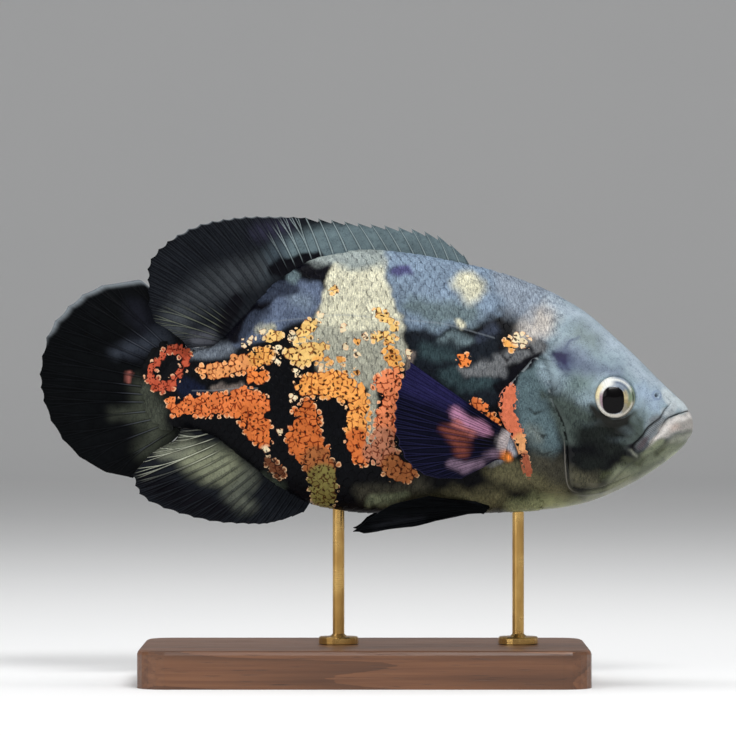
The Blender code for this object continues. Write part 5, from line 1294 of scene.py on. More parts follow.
for side, word in ((-1, "right"), (1, "left")):
    lay_scales("flank_scales_" + word, side, FLANK_SPACING, on_the_flank, flank_relief, MARKS, 31,
               lines=LATERAL_LINES)
    lay_scales("cheek_scales_" + word, side, CHEEK_SPACING,
               lambda b, h, along, spacing: (past_field(CHEEK_PATCH, b, h) < 0) & (off_line(cheek_fold, b, h)[0] > 0.0022),
               lambda b: 0.00010 + 0 * b, {}, 47, shape=(6, 5), painted_shading=0.15)
    lay_scales("gill_scales_" + word, side, GILL_SPACING,
               lambda b, h, along, spacing: (past_gill(b, h) < -0.0007) & (off_line(cheek_fold, b, h)[0] > 0.0015),
               lambda b: 0.00012 + 0 * b, GILL_MARKS, 53, shape=(6, 5),
               raised=lambda b: gill_proud(b) * 0.97, painted_shading=0.2, fineness=1.8)


# Each eye is a glass-like dome with a black pupil and a pale iris, set in its socket, with a clear wet gloss.

EYE_RINGS = 44
EYE_SPOKES = 128
PUPIL_HALF = (0.0048, 0.0057)
PUPIL_OFF = (-0.0016, -0.0027)
EYE_SHOWN = 0.0083
IRIS_CREAM = tone(234, 220, 178)
IRIS_WHITE = tone(228, 229, 223)
IRIS_RING = tone(212, 207, 194)
IRIS_GREY = tone(138, 149, 162)
IRIS_BLUE = tone(78, 90, 110)
IRIS_LILAC = tone(150, 128, 138)
IRIS_OLIVE = tone(126, 142, 118)
IRIS_TAN = tone(188, 174, 136)
IRIS_GOLD = tone(142, 124, 78)
IRIS_RIM_DARK_AND_SHADOW = tone(26, 32, 30)
PUPIL_BLACK = tone(5, 4, 5)


def eye_frame(side):
    """The eye's middle, the way it looks, and the ways forward and up across it."""
    step = 0.004
    cheek = half_breadth(EYE_BEHIND, EYE_HEIGHT)
    rear, fore = half_breadth(EYE_BEHIND + step, EYE_HEIGHT), half_breadth(EYE_BEHIND - step, EYE_HEIGHT)
    above, below = half_breadth(EYE_BEHIND, EYE_HEIGHT + step), half_breadth(EYE_BEHIND, EYE_HEIGHT - step)
    looks = unit(np.array([rear - fore, side * 2 * step, below - above]))
    forward = unit(np.array([1.0, 0.0, 0.0]) - looks * looks[0])
    up = np.cross(forward, looks) * -side
    return place(EYE_BEHIND, EYE_HEIGHT, side * cheek) - looks * EYE_SINK, looks, forward, up


def make_eye_finish():
    finish, tree, shader = new_finish(
        "wet_eye", roughness=0.25, coat_weight=0.14, coat_roughness=0.03, specular_ior_level=0.05)
    iris = stored(tree, "iris")
    aim = stored(tree, "aim", out=1)
    threads = node(tree, "TexNoise", (node(tree, "VectorMath", (aim, (1.0, 9.0, 1.0)), operation="MULTIPLY"),
                                      None, 3.0, 3.0, 0.6))
    shaded = blended(tree, maths(tree, "MULTIPLY", between(tree, threads, 0.45, 0.75), 0.35), iris,
                     tone(96, 96, 92), "MULTIPLY")
    edge = node(tree, "TexNoise", (node(tree, "TexCoord", out=3), None, 1800.0, 1.0, 0.5))
    pupil = maths(tree, "MULTIPLY_ADD", maths(tree, "SUBTRACT", edge, 0.5), 0.06, stored(tree, "pupil", out=2))
    colour = blended(tree, between(tree, pupil, 1.04, 0.96), shaded, PUPIL_BLACK)
    join(tree, shader.inputs["Base Color"], colour)
    return finish


eye_finish = make_eye_finish()


def make_eye(side, word):
    middle, looks, forward, up = eye_frame(side)
    ring = np.linspace(0, math.pi, EYE_RINGS + 2)[1:-1]
    spoke = np.arange(EYE_SPOKES) * math.tau / EYE_SPOKES
    out, depth = np.sin(ring)[:, None] * EYE_RADIUS, np.cos(ring)[:, None] * EYE_HALF_DEPTH
    right, high = out * np.cos(spoke), out * np.sin(spoke)
    depth = depth + 0 * right
    # The clear lens swells a little over the pupil
    off = np.hypot((right - PUPIL_OFF[0]) / PUPIL_HALF[0], (high - PUPIL_OFF[1]) / PUPIL_HALF[1])
    depth = depth + 0.0007 * (1 - smooth_step(0.5, 1.25, off)) * (depth > 0)
    grid = (middle + right[..., None] * forward + high[..., None] * up + depth[..., None] * looks).reshape(-1, 3)
    poles = np.stack((middle + looks * (EYE_HALF_DEPTH + 0.0007), middle - looks * EYE_HALF_DEPTH))
    points = np.vstack((grid, poles))
    quads = grid_faces(EYE_RINGS, EYE_SPOKES, closed=True)
    step = np.arange(EYE_SPOKES)
    after = (step + 1) % EYE_SPOKES
    last = (EYE_RINGS - 1) * EYE_SPOKES
    front = np.stack((np.full(EYE_SPOKES, len(grid)), step, after), -1)
    back = np.stack((np.full(EYE_SPOKES, len(grid) + 1), last + after, last + step), -1)
    if side > 0:
        quads, front, back = quads[:, ::-1], front[:, ::-1], back[:, ::-1]
    piece = new_piece("eye_dome_" + word, points, (quads, front, back), eye_finish, ("eye_" + word,))
    # The iris and the pupil are painted as they show from the side, where the dome leans up and forward
    across, upward = (points - middle)[:, 0] / EYE_SHOWN, (points - middle)[:, 2] / EYE_SHOWN
    radius = np.hypot(across, upward)
    angle = np.arctan2(upward, across)
    lobes = (np.abs((across + 0.07) / 0.56) ** 2.6 + np.abs((upward + 0.12) / 0.69) ** 2.6) ** (1 / 2.6)
    iris = np.tile(np.array(IRIS_GREY), (len(radius), 1))

    def lay(colour, cover):
        iris[:] += np.clip(cover, 0, 1)[:, None] * (np.array(colour) - iris)

    def facing(degrees, half, soft=20):
        """The share of a colour that faces this way round the iris, 0 at the front and 90 at the top."""
        off = np.degrees(np.abs(np.angle(np.exp(1j * (angle - math.radians(degrees))))))
        return 1 - smooth_step(half - soft / 2, half + soft / 2, off)

    lay(IRIS_LILAC, facing(185, 55) * (1 - smooth_step(0.76, 0.82, radius)))
    lay(IRIS_TAN, facing(5, 32) * (1 - smooth_step(0.66, 0.76, radius)))
    lay(IRIS_OLIVE, facing(0, 35) * smooth_step(0.68, 0.76, radius))
    lay(IRIS_GOLD, facing(-38, 26) * (0.6 + 0.4 * np.sin(angle * 60)))
    lay(IRIS_BLUE, mound(radius - 0.80, 0.05) * facing(55, 42) * 0.8)
    lay(IRIS_BLUE, mound(radius - 0.62, 0.04) * facing(40, 30) * 0.6)
    lay(IRIS_WHITE, mound(radius - 0.93, 0.06) * facing(65, 45) * 0.75)
    lay(IRIS_WHITE, facing(128, 32, 34) * smooth_step(0.58, 0.70, radius))
    lay(IRIS_CREAM, facing(170, 32, 34) * smooth_step(0.76, 0.82, radius))
    lay(IRIS_RING, facing(240, 55, 24) * smooth_step(0.80, 0.85, radius))
    lay(IRIS_WHITE, facing(228, 26, 30) * mound(radius - 0.89, 0.04) * 0.8)
    lay(IRIS_RING, facing(-42, 30) * smooth_step(0.86, 0.92, radius) * 0.8)
    lay(IRIS_RIM_DARK_AND_SHADOW, mound(radius - 0.97, 0.035) * facing(4, 16, 16))
    lay(IRIS_GOLD, mound(radius - 1.01, 0.03) * facing(185, 40))
    # A dark band along the lower rim of the eye is painted shadow under it
    lay(IRIS_RIM_DARK_AND_SHADOW, mound(radius - 1.02, 0.03) * facing(265, 80) * 0.8)
    store(piece, "iris", iris)
    store(piece, "pupil", lobes)
    store(piece, "aim", np.stack((radius, np.cos(angle), np.sin(angle)), -1))


for side, word in ((-1, "right"), (1, "left")):
    make_eye(side, word)


# The fins are thin painted membranes over rays. The spines at the front are single and stiff, and the soft rays
# fork twice on their way to the margin. Their roots are sunk in a low scaled sheath along the body.

DORSAL_SPINES = 13
# Ray number, root behind, tip behind and height, for a few guide rays
DORSAL_GUIDES = (
    (0, 0.0937, 0.0980, 0.0622), (2, 0.1030, 0.1090, 0.0703), (4, 0.1125, 0.1200, 0.0732),
    (8, 0.1340, 0.1430, 0.0756), (12, 0.1575, 0.1650, 0.0778), (16, 0.1710, 0.1860, 0.0784),
    (20, 0.1810, 0.2050, 0.0763), (24, 0.1895, 0.2240, 0.0676), (27, 0.1940, 0.2325, 0.0558),
    (30, 0.1975, 0.2320, 0.0410), (31, 0.1985, 0.2295, 0.0340), (32, 0.1995, 0.2205, 0.0280),
    (33, 0.2010, 0.2150, 0.0222),
)
ANAL_GUIDES = (
    (0, 0.1620, 0.1660, -0.0480), (2, 0.1665, 0.1750, -0.0512), (5, 0.1725, 0.1850, -0.0530),
    (8, 0.1790, 0.2000, -0.0524), (11, 0.1860, 0.2190, -0.0484), (14, 0.1935, 0.2360, -0.0400),
    (16, 0.1985, 0.2385, -0.0320), (17, 0.2005, 0.2315, -0.0234), (18, 0.2030, 0.2200, -0.0166),
    (19, 0.2045, 0.2180, -0.0120),
)
# The tail's guide rays also have a root height, and the paired fins' a distance aside at each end as well
TAIL_GUIDES = (
    (0, 0.2185, 0.0215, 0.2270, 0.0400), (1, 0.2205, 0.0212, 0.2372, 0.0517), (2, 0.2230, 0.0190, 0.2530, 0.0493),
    (4, 0.2255, 0.0155, 0.2677, 0.0402), (6, 0.2268, 0.0105, 0.2775, 0.0267),
    (8, 0.2272, 0.0045, 0.2799, 0.0110), (10, 0.2270, -0.0010, 0.2784, -0.0005),
    (11, 0.2262, -0.0040, 0.2755, -0.0090), (12, 0.2252, -0.0065, 0.2702, -0.0170),
    (13, 0.2240, -0.0090, 0.2625, -0.0245), (14, 0.2225, -0.0115, 0.2510, -0.0310),
    (15, 0.2205, -0.0135, 0.2395, -0.0335),
)
PECTORAL_GUIDES = (
    (0, 0.0792, -0.0136, 0.0218, 0.1208, 0.0162, 0.0330),
    (2, 0.0798, -0.0152, 0.0218, 0.1245, 0.0085, 0.0350),
    (4, 0.0804, -0.0168, 0.0218, 0.1270, -0.0008, 0.0370),
    (6, 0.0810, -0.0185, 0.0217, 0.1276, -0.0094, 0.0380),
    (8, 0.0816, -0.0202, 0.0214, 0.1257, -0.0187, 0.0380),
    (10, 0.0822, -0.0218, 0.0211, 0.1197, -0.0281, 0.0370),
    (12, 0.0828, -0.0234, 0.0206, 0.1086, -0.0326, 0.0340),
    (13, 0.0831, -0.0243, 0.0203, 0.0990, -0.0328, 0.0310),
)
PELVIC_GUIDES = (
    (0, 0.0900, -0.0466, 0.0075, 0.1200, -0.0535, 0.0130),
    (1, 0.0896, -0.0462, 0.0080, 0.1400, -0.0560, 0.0150),
    (2, 0.0890, -0.0457, 0.0086, 0.1448, -0.0552, 0.0165),
    (3, 0.0884, -0.0452, 0.0092, 0.1390, -0.0505, 0.0180),
    (4, 0.0878, -0.0447, 0.0098, 0.1285, -0.0440, 0.0190),
    (5, 0.0872, -0.0442, 0.0104, 0.1130, -0.0403, 0.0186),
)
ROOT_SUNK = 0.0030
MEMBRANE_HALF = 0.00017
RAY_ROOT_RISE = 0.00062
RAY_TIP_RISE = 0.00022
RAY_WIDTH = 0.00042
SHEATH_HALF = 0.0016
SHEATH_SHARE = 0.30
LOBE_LEAN = 0.0085
LEAN_POWER = 1.3
DORSAL_LEAN_FROM = 14
ANAL_LEAN_FROM = 4
MEDIAN_BOW = 0.05
TAIL_CURL = 0.0100
TAIL_CURL_DELAY = 0.28
TAIL_RIPPLE = 0.0009
TAIL_RIPPLE_RATE = 1.3
PECTORAL_FLARE = 0.0035
PELVIC_FLARE = 0.0030
PECTORAL_SHEATH_HALF = 0.0022
PELVIC_SHEATH_HALF = 0.0014


def guided(guides, number, column):
    return smooth_through([(row[0], row[column]) for row in guides], number)


def lobe_lean(guides, lean_from, number):
    """How far a ray's tip leans to the fish's right, which brings the rear lobe clear of the tail fin."""
    share = np.maximum(0.0, (number - lean_from) / (guides[-1][0] - lean_from))
    return -LOBE_LEAN * share**LEAN_POWER


def median_rays(guides, contour_column, sink, lean_from, bow):
    def rays(number):
        root_behind = guided(guides, number, 1)
        root = place(root_behind, station(root_behind, contour_column) + sink, 0.0)
        tip = place(guided(guides, number, 2), guided(guides, number, 3), lobe_lean(guides, lean_from, number))
        along = tip - root
        across = np.stack((-along[:, 2], 0 * along[:, 0], along[:, 0]), -1) * bow
        return root, (root + tip) / 2 + across, tip

    return rays


def tail_rays(number):
    root = place(guided(TAIL_GUIDES, number, 1) - ROOT_SUNK, guided(TAIL_GUIDES, number, 2), 0.0)
    ripple = TAIL_RIPPLE * np.sin(number * TAIL_RIPPLE_RATE)
    tip = place(guided(TAIL_GUIDES, number, 3), guided(TAIL_GUIDES, number, 4), TAIL_CURL + ripple)
    middle = (root + tip) / 2
    middle[:, 1] = root[:, 1] + (tip[:, 1] - root[:, 1]) * TAIL_CURL_DELAY
    return root, middle, tip


def paired_rays(guides, side, flare):
    def rays(number):
        behind, height, aside, tip_behind, tip_height, tip_aside = (
            guided(guides, number, column) for column in range(1, 7))
        root, tip = place(behind, height, side * aside), place(tip_behind, tip_height, side * tip_aside)
        middle = (root + tip) / 2
        middle[:, 1] += side * flare
        return root, middle, tip

    return rays


def margin_cut(number, spines, deep, shallow, soft):
    """How far the membrane's edge falls short of the ray tips: cut in behind each spine, scalloped after."""
    part = number % 1
    deepest = deep + (shallow - deep) * np.minimum(number / max(spines, 1), 1)
    behind_spine = deepest * smooth_step(0.0, 0.16, part) * (1 - 0.85 * part)
    scallop = soft * np.sin(math.pi * part)
    return np.where(number < spines - 1, behind_spine, scallop)


def make_fin(name, nodes, rays, count, finish, paint, ray_paint, side=-1, per_ray=10, rows=34, spines=0,
             cuts=(0.0, 0.0, 0.02), sheath=SHEATH_HALF, pleat=0.0002, fork_from=(0.34, 0.66), seed=5, pale=(-9, 99)):
    number = np.linspace(0, count - 1, (count - 1) * per_ray + 1)
    root, middle, tip = rays(number)
    reach = 1 - margin_cut(number, spines, *cuts)
    share = np.linspace(0, 1, rows)[:, None] * reach
    s = share[..., None]
    spot = root * (1 - s) ** 2 + middle * 2 * s * (1 - s) + tip * s**2
    gap = np.linalg.norm(np.gradient(spot, axis=1), axis=-1) * per_ray
    nearest = np.round(number)
    off = np.abs(number - nearest) * gap
    soft = (nearest >= spines).astype(float)
    fork = soft * 0.24 * gap * smooth_step(fork_from[0], 1.0, share)
    second = soft * 0.11 * gap * smooth_step(fork_from[1], 1.0, share)
    to_ray = np.abs(np.abs(off - fork) - second)
    out = unit(np.cross(np.gradient(spot, axis=1), np.gradient(spot, axis=0)))
    crest = (RAY_ROOT_RISE + (RAY_TIP_RISE - RAY_ROOT_RISE) * share) * mound(to_ray, RAY_WIDTH)
    edge_thin = 1 - 0.45 * smooth_step(0.93, 1.0, np.linspace(0, 1, rows)[:, None] + 0 * share)
    flesh = sheath * np.maximum(0.0, 1 - share / SHEATH_SHARE) ** 2
    half = (MEMBRANE_HALF + crest) * edge_thin + flesh
    wave = pleat * np.cos(2 * math.pi * number) * smooth_step(0.1, 0.6, share)
    b, h = LIP_X - spot[..., 0], spot[..., 2] - AXIS_HEIGHT
    drift = 0.0005 * cloud(number * 0.6, share * 2.0, 1.0, seed) * smooth_step(0.2, 0.9, share)
    spot = spot + out * (wave + drift)[..., None]
    grids = np.stack((spot + out * half[..., None], spot - out * half[..., None]))
    points = grids.reshape(-1, 3)
    width = len(number)
    size = rows * width
    front = grid_faces(rows, width)
    back = front[:, ::-1] + size
    c, r = np.arange(width - 1), np.arange(rows - 1) * width
    last = size - width
    edges = np.concatenate((
        np.stack((c + 1, c, size + c, size + c + 1), -1),
        np.stack((last + c, last + c + 1, size + last + c + 1, size + last + c), -1),
        np.stack((r, r + width, size + r + width, size + r), -1),
        np.stack((r + 2 * width - 1, r + width - 1, size + r + width - 1, size + r + 2 * width - 1), -1),
    ))
    quads = np.concatenate((front, back, edges))
    middle_row = rows // 2 * width + width // 2
    facing = np.cross(points[front[width, 1]] - points[front[width, 0]], points[front[width, 3]] - points[front[width, 0]])
    if facing @ out.reshape(-1, 3)[front[width, 0]] < 0:
        quads = quads[:, ::-1]
    piece = new_piece(name, points, (quads,), finish, nodes)
    flat_b, flat_h = b.ravel(), h.ravel()
    store(piece, "paint", np.tile(painted(paint[0], paint[1], flat_b, flat_h, seed, 0.0010), (2, 1)))
    store(piece, "ray_paint", np.tile(painted(ray_paint[0], ray_paint[1], flat_b, flat_h, seed, 0.0010), (2, 1)))
    store(piece, "ray_place", np.tile(np.stack((off, fork, second), -1).reshape(-1, 3), (2, 1)))
    rim = (1 - share / reach) * np.linalg.norm(tip - root, axis=-1)
    rim = rim + 0.01 * (1 - smooth_step(pale[0] - 2, pale[0] + 1, number) + smooth_step(pale[1] - 2, pale[1] + 2, number))
    store(piece, "run", np.tile(np.stack((share, number + 0 * share, rim), -1).reshape(-1, 3), (2, 1)))
    store(piece, "spine", np.tile((1 - soft + 0 * share).ravel(), 2))
    return piece


def make_fin_finish(name, rim_colour, rim_width, rim_strength, dots=0.0):
    finish, tree, shader = new_finish(
        name, roughness=0.50, coat_weight=0.0, coat_roughness=0.3, specular_ior_level=0.025)
    ray_place = stored(tree, "ray_place", out=1)
    off, fork, second = (node(tree, "SeparateXYZ", (ray_place,), out=axis) for axis in range(3))
    to_fork = maths(tree, "ABSOLUTE", maths(tree, "SUBTRACT", off, fork))
    to_ray = maths(tree, "ABSOLUTE", maths(tree, "SUBTRACT", to_fork, second))
    run = stored(tree, "run", out=1)
    share, rim = (node(tree, "SeparateXYZ", (run,), out=axis) for axis in (0, 2))
    spine = stored(tree, "spine", out=2)
    width = maths(tree, "MULTIPLY_ADD", spine, 0.00016, 0.00030)
    ray = maths(tree, "SUBTRACT", 1.0, maths(tree, "SMOOTH_MIN", maths(tree, "DIVIDE", to_ray, width), 1.0, 0.4))
    ray = maths(tree, "MULTIPLY", maths(tree, "MAXIMUM", ray, 0.0), between(tree, share, 0.08, 0.22))
    beside = maths(tree, "MULTIPLY", between(tree, to_ray, 0.00025, 0.00042), between(tree, to_ray, 0.00085, 0.0005))
    beside = maths(tree, "MULTIPLY", beside, between(tree, share, 0.08, 0.22))
    joints = maths(tree, "SINE", maths(tree, "MULTIPLY", rim, 4200.0))
    segmented = maths(tree, "MULTIPLY", between(tree, joints, 0.4, 0.95), maths(tree, "SUBTRACT", 1.0, spine))
    segmented = maths(tree, "MULTIPLY", segmented, between(tree, share, 0.25, 0.45))
    grains = grouped(tree, speckle, colour=stored(tree, "paint"), amount=0.5, grains_per_metre=1300.0)
    shaded = blended(tree, maths(tree, "MULTIPLY", beside, 0.75), grains["Colour"], (0.22, 0.22, 0.25, 1.0),
                     "MULTIPLY")
    coloured = blended(tree, maths(tree, "MULTIPLY", ray, 0.85), shaded, stored(tree, "ray_paint"))
    coloured = blended(tree, maths(tree, "MULTIPLY", maths(tree, "MULTIPLY", ray, segmented), 0.35), coloured,
                       (0.2, 0.2, 0.22, 1.0), "MULTIPLY")
    at_rim = maths(tree, "MULTIPLY", maths(tree, "POWER", between(tree, rim, rim_width, 0.0), 1.6), rim_strength)
    coloured = blended(tree, at_rim, coloured, rim_colour)
    join(tree, shader.inputs["Base Color"], coloured)
    height = maths(tree, "MULTIPLY_ADD", ray, 1.2, grains["Height"])
    height = maths(tree, "SUBTRACT", height, maths(tree, "MULTIPLY", segmented, 0.35))
    join(tree, shader.inputs["Normal"], bumped(tree, height, 0.00008, 0.7))
    return finish


FIN_CHARCOAL = tone(24, 27, 32)
FIN_TEAL = tone(98, 114, 119)
FIN_TEAL_DARK = tone(60, 70, 77)
FIN_VIOLET = tone(44, 44, 60)
FIN_GREEN_GREY = tone(88, 92, 82)
FIN_GREY_DARK = tone(58, 62, 66)
FIN_NIGHT = tone(14, 14, 19)
FIN_SLATE = tone(50, 55, 64)
FIN_SLATE_PALE = tone(74, 76, 83)
FIN_PINK = tone(150, 88, 80)
FIN_DUSK = tone(26, 28, 36)
FIN_OLIVE = tone(126, 130, 108)
FIN_PALE = tone(120, 124, 108)
RAY_GREY = tone(72, 76, 86)
RAY_DARK = tone(33, 36, 41)
RAY_BLACK = tone(16, 18, 21)
RAY_PALE_GREEN = tone(104, 109, 94)
RAY_SPINE = tone(150, 164, 166)
RAY_CREAM = tone(204, 208, 188)

# The spiny part of the dorsal fin is grey-teal with pale spines, and its soft lobe is charcoal.
DORSAL_PAINT = (
    (FIN_TEAL_DARK, 0.0040, ((0.1836, 0.0560, 0.0043), (0.1720, 0.0640, 0.0060))),
    (FIN_TEAL, 0.0030, ((0.1650, 0.0640, 0.0080), (0.1504, 0.0670, 0.0080), (0.1248, 0.0690, 0.0080),
                        (0.1035, 0.0639, 0.0080), (0.0950, 0.0588, 0.0050))),
    (FIN_VIOLET, 0.0040, ((0.1836, 0.0716, 0.0043), (0.1738, 0.0740, 0.0034))),
    (FIN_GREY_DARK, 0.0050, ((0.2220, 0.0280, 0.0050), (0.2180, 0.0380, 0.0060), (0.2080, 0.0470, 0.0060),
                             (0.1960, 0.0520, 0.0060), (0.1860, 0.0560, 0.0050))),
    (FIN_SLATE_PALE, 0.0030, ((0.2110, 0.0260, 0.0030), (0.2060, 0.0270, 0.0030))),
    (FIN_NIGHT, 0.0010, ((0.2000, 0.0310, 0.0025), (0.1965, 0.0375, 0.0036), (0.1945, 0.0420, 0.0030))),
    (FIN_NIGHT, 0.0010, ((0.1790, 0.0545, 0.0026), (0.1740, 0.0570, 0.0040), (0.1680, 0.0575, 0.0040),
                         (0.1600, 0.0600, 0.0026))),
)
DORSAL_RAYS = (
    (RAY_SPINE, 0.0040, ((0.1680, 0.0690, 0.0100), (0.1400, 0.0690, 0.0120), (0.0950, 0.0620, 0.0100))),
    (RAY_PALE_GREEN, 0.0040, ((0.2230, 0.0330, 0.0050), (0.2050, 0.0330, 0.0050))),
)
spiny_finish = make_fin_finish("painted_dorsal_fin", tone(150, 158, 164), 0.0009, 0.7)
make_fin("dorsal_fin_skin", ("dorsal_fin",), median_rays(DORSAL_GUIDES, 1, -ROOT_SUNK, DORSAL_LEAN_FROM, -MEDIAN_BOW),
         DORSAL_GUIDES[-1][0] + 1, spiny_finish, (FIN_CHARCOAL, DORSAL_PAINT), (RAY_DARK, DORSAL_RAYS),
         spines=DORSAL_SPINES, cuts=(0.24, 0.10, 0.02), rows=40, pale=(13, 25))

# The anal fin is olive over its scaled base, with a dark margin and crisp pale rays at its rear.
ANAL_PAINT = (
    (FIN_GREEN_GREY, 0.0040, ((0.1900, -0.0330, 0.0040), (0.1960, -0.0400, 0.0040), (0.1900, -0.0440, 0.0030))),
    (FIN_OLIVE, 0.0045, ((0.1990, -0.0290, 0.0060), (0.2060, -0.0270, 0.0070), (0.2130, -0.0250, 0.0060))),
    (FIN_PALE, 0.0030, ((0.2160, -0.0190, 0.0030), (0.2219, -0.0215, 0.0030), (0.2260, -0.0225, 0.0020))),
    (FIN_NIGHT, 0.0034, ((0.2010, -0.0480, 0.0045), (0.2100, -0.0455, 0.0050), (0.2249, -0.0390, 0.0051),
                         (0.2350, -0.0344, 0.0026))),
)
ANAL_RAYS = (
    (RAY_CREAM, 0.0035, ((0.2100, -0.0200, 0.0070), (0.2250, -0.0230, 0.0060), (0.2330, -0.0280, 0.0040))),
)
anal_finish = make_fin_finish("painted_anal_fin", tone(60, 62, 62), 0.0008, 0.2)
make_fin("anal_fin_skin", ("anal_fin",), median_rays(ANAL_GUIDES, 2, ROOT_SUNK, ANAL_LEAN_FROM, MEDIAN_BOW),
         ANAL_GUIDES[-1][0] + 1, anal_finish, (FIN_CHARCOAL, ANAL_PAINT), (RAY_DARK, ANAL_RAYS), rows=40,
         per_ray=12, spines=3, cuts=(0.08, 0.05, 0.02), seed=6)

# The tail fin is nearly black, with a pale margin that is widest at its upper corner.
TAIL_PAINT = (
    (FIN_DUSK, 0.0050, ((0.2380, 0.0380, 0.0040), (0.2313, 0.0298, 0.0050), (0.2380, 0.0220, 0.0040))),
    (FIN_SLATE, 0.0035, ((0.2460, 0.0200, 0.0020), (0.2360, 0.0230, 0.0030), (0.2270, 0.0260, 0.0040))),
    (FIN_ROOT, 0.0065, ((0.2340, 0.0050, 0.0036), (0.2320, -0.0050, 0.0055), (0.2290, -0.0140, 0.0050),
                        (0.2330, -0.0210, 0.0030))),
    (FIN_ROOT, 0.0045, ((0.2480, -0.0060, 0.0006), (0.2390, -0.0060, 0.0020))),
    (FIN_PINK, 0.0008, ((0.2407, 0.0111, 0.0012), (0.2406, 0.0081, 0.0007))),
)
TAIL_RAYS = (
    (RAY_GREY, 0.0050, ((0.2400, 0.0050, 0.0040), (0.2340, -0.0100, 0.0066), (0.2320, -0.0200, 0.0040))),
    (RAY_GREY, 0.0040, ((0.2380, 0.0250, 0.0030), (0.2300, 0.0270, 0.0040))),
)
tail_finish = make_fin_finish("painted_tail_fin", tone(140, 148, 154), 0.0042, 0.80)
tail_fin = make_fin("tail_fin_skin", ("tail_fin",), tail_rays, TAIL_GUIDES[-1][0] + 1, tail_finish,
         (FIN_BLACK, TAIL_PAINT), (RAY_BLACK, TAIL_RAYS), per_ray=16, rows=44, seed=7, pale=(-9, 7))

# The breast fins are indigo with a lilac and rust band, and the belly fins charcoal.
FIN_INDIGO = tone(36, 34, 74)
FIN_DEEP_BLUE = tone(12, 13, 29)
GIRDLE_PALE = tone(176, 166, 166)
FIN_LILAC = tone(172, 122, 150)
FIN_ROSE = tone(172, 104, 102)
FIN_RUST = tone(116, 62, 52)
FIN_PLUM = tone(118, 98, 116)
FIN_GREY = tone(26, 28, 32)
PELVIC_BLACK = tone(6, 8, 10)
PECTORAL_PAINT = (
    (FIN_INDIGO, 0.0034, ((0.1250, 0.0119, 0.0070), (0.1144, 0.0065, 0.0070), (0.1018, -0.0007, 0.0044))),
    (FIN_LILAC, 0.0016, ((0.1018, -0.0057, 0.0026), (0.0955, -0.0091, 0.0026), (0.0896, -0.0133, 0.0021))),
    (FIN_ROSE, 0.0016, ((0.1018, -0.0099, 0.0021), (0.0963, -0.0133, 0.0021))),
    (FIN_RUST, 0.0020, ((0.1060, -0.0125, 0.0021), (0.0997, -0.0158, 0.0034), (0.0984, -0.0209, 0.0030))),
    (FIN_PLUM, 0.0016, ((0.1030, -0.0268, 0.0017), (0.0975, -0.0285, 0.0026), (0.0912, -0.0260, 0.0013))),
    (FIN_NIGHT, 0.0016, ((0.0896, -0.0175, 0.0030), (0.0862, -0.0158, 0.0017))),
    (GIRDLE_PALE, 0.0012, ((0.0795, -0.0140, 0.0020), (0.0818, -0.0165, 0.0026), (0.0826, -0.0205, 0.0018))),
    (FIN_PLUM, 0.0016, ((0.0885, -0.0235, 0.0012), (0.0855, -0.0222, 0.0014))),
    (ORANGE, 0.0014, ((0.0815, -0.0232, 0.0022),)),
)
PECTORAL_RAYS = (
    (FIN_LILAC, 0.0016, ((0.1018, -0.0057, 0.0030), (0.0955, -0.0091, 0.0030), (0.0896, -0.0133, 0.0021))),
    (FIN_PLUM, 0.0020, ((0.1030, -0.0268, 0.0020), (0.0975, -0.0285, 0.0026), (0.0912, -0.0260, 0.0013))),
)
PELVIC_PAINT = ((FIN_GREY, 0.0020, ((0.1355, -0.0537, 0.0013), (0.1248, -0.0511, 0.0017), (0.1163, -0.0494, 0.0013))),)
pectoral_finish = make_fin_finish("painted_breast_fin", tone(86, 84, 128), 0.0008, 0.2)
pelvic_finish = make_fin_finish("painted_belly_fin", tone(60, 64, 72), 0.0008, 0.15)
for side, word in ((-1, "right"), (1, "left")):
    make_fin("pectoral_fin_skin_" + word, ("pectoral_fin_" + word,), paired_rays(PECTORAL_GUIDES, side, PECTORAL_FLARE),
             PECTORAL_GUIDES[-1][0] + 1, pectoral_finish, (FIN_DEEP_BLUE, PECTORAL_PAINT),
             (tone(30, 30, 62), PECTORAL_RAYS), side=side, sheath=PECTORAL_SHEATH_HALF, seed=8)
    make_fin("pelvic_fin_skin_" + word, ("pelvic_fin_" + word,), paired_rays(PELVIC_GUIDES, side, PELVIC_FLARE),
             PELVIC_GUIDES[-1][0] + 1, pelvic_finish, (PELVIC_BLACK, PELVIC_PAINT), (RAY_BLACK, ()),
             side=side, per_ray=14, sheath=PELVIC_SHEATH_HALF, spines=1, seed=9)


# The scales run on over the tail's root, where the stem thins into the fin. They are laid over the finished
# skin and fin, on a surface felt from each side.

FELT_STEP = 0.0005
felt_behind = np.arange(0.2040, 0.2420, FELT_STEP)
felt_height = np.arange(-0.0240, 0.0320, FELT_STEP)


def feel(pieces, side):
    """How far aside of the middle plane the pieces' outer surface lies, smoothed, at a grid of places."""
    points, faces = [], []
    for piece in pieces:
        start = len(points)
        points += [vertex.co[:] for vertex in piece.data.vertices]
        faces += [[start + corner for corner in face.vertices] for face in piece.data.polygons]
    tree = BVHTree.FromPolygons(points, faces)
    found = np.zeros((len(felt_behind), len(felt_height)))
    for row, behind in enumerate(felt_behind):
        middle = place(behind, 0.0, 0.0)
        for column, height in enumerate(felt_height):
            hit = tree.ray_cast((middle[0], side * 0.08, AXIS_HEIGHT + height), (0.0, -side, 0.0))[0]
            found[row, column] = side * (hit[1] - middle[1]) if hit else 0.0006
    for turn in range(6):
        padded = np.pad(found, 1, mode="edge")
        around = [padded[i:i + found.shape[0], j:j + found.shape[1]] for i in range(3) for j in range(3)]
        found = np.max(around, axis=0) if turn < 2 else np.mean(around, axis=0)
    return found


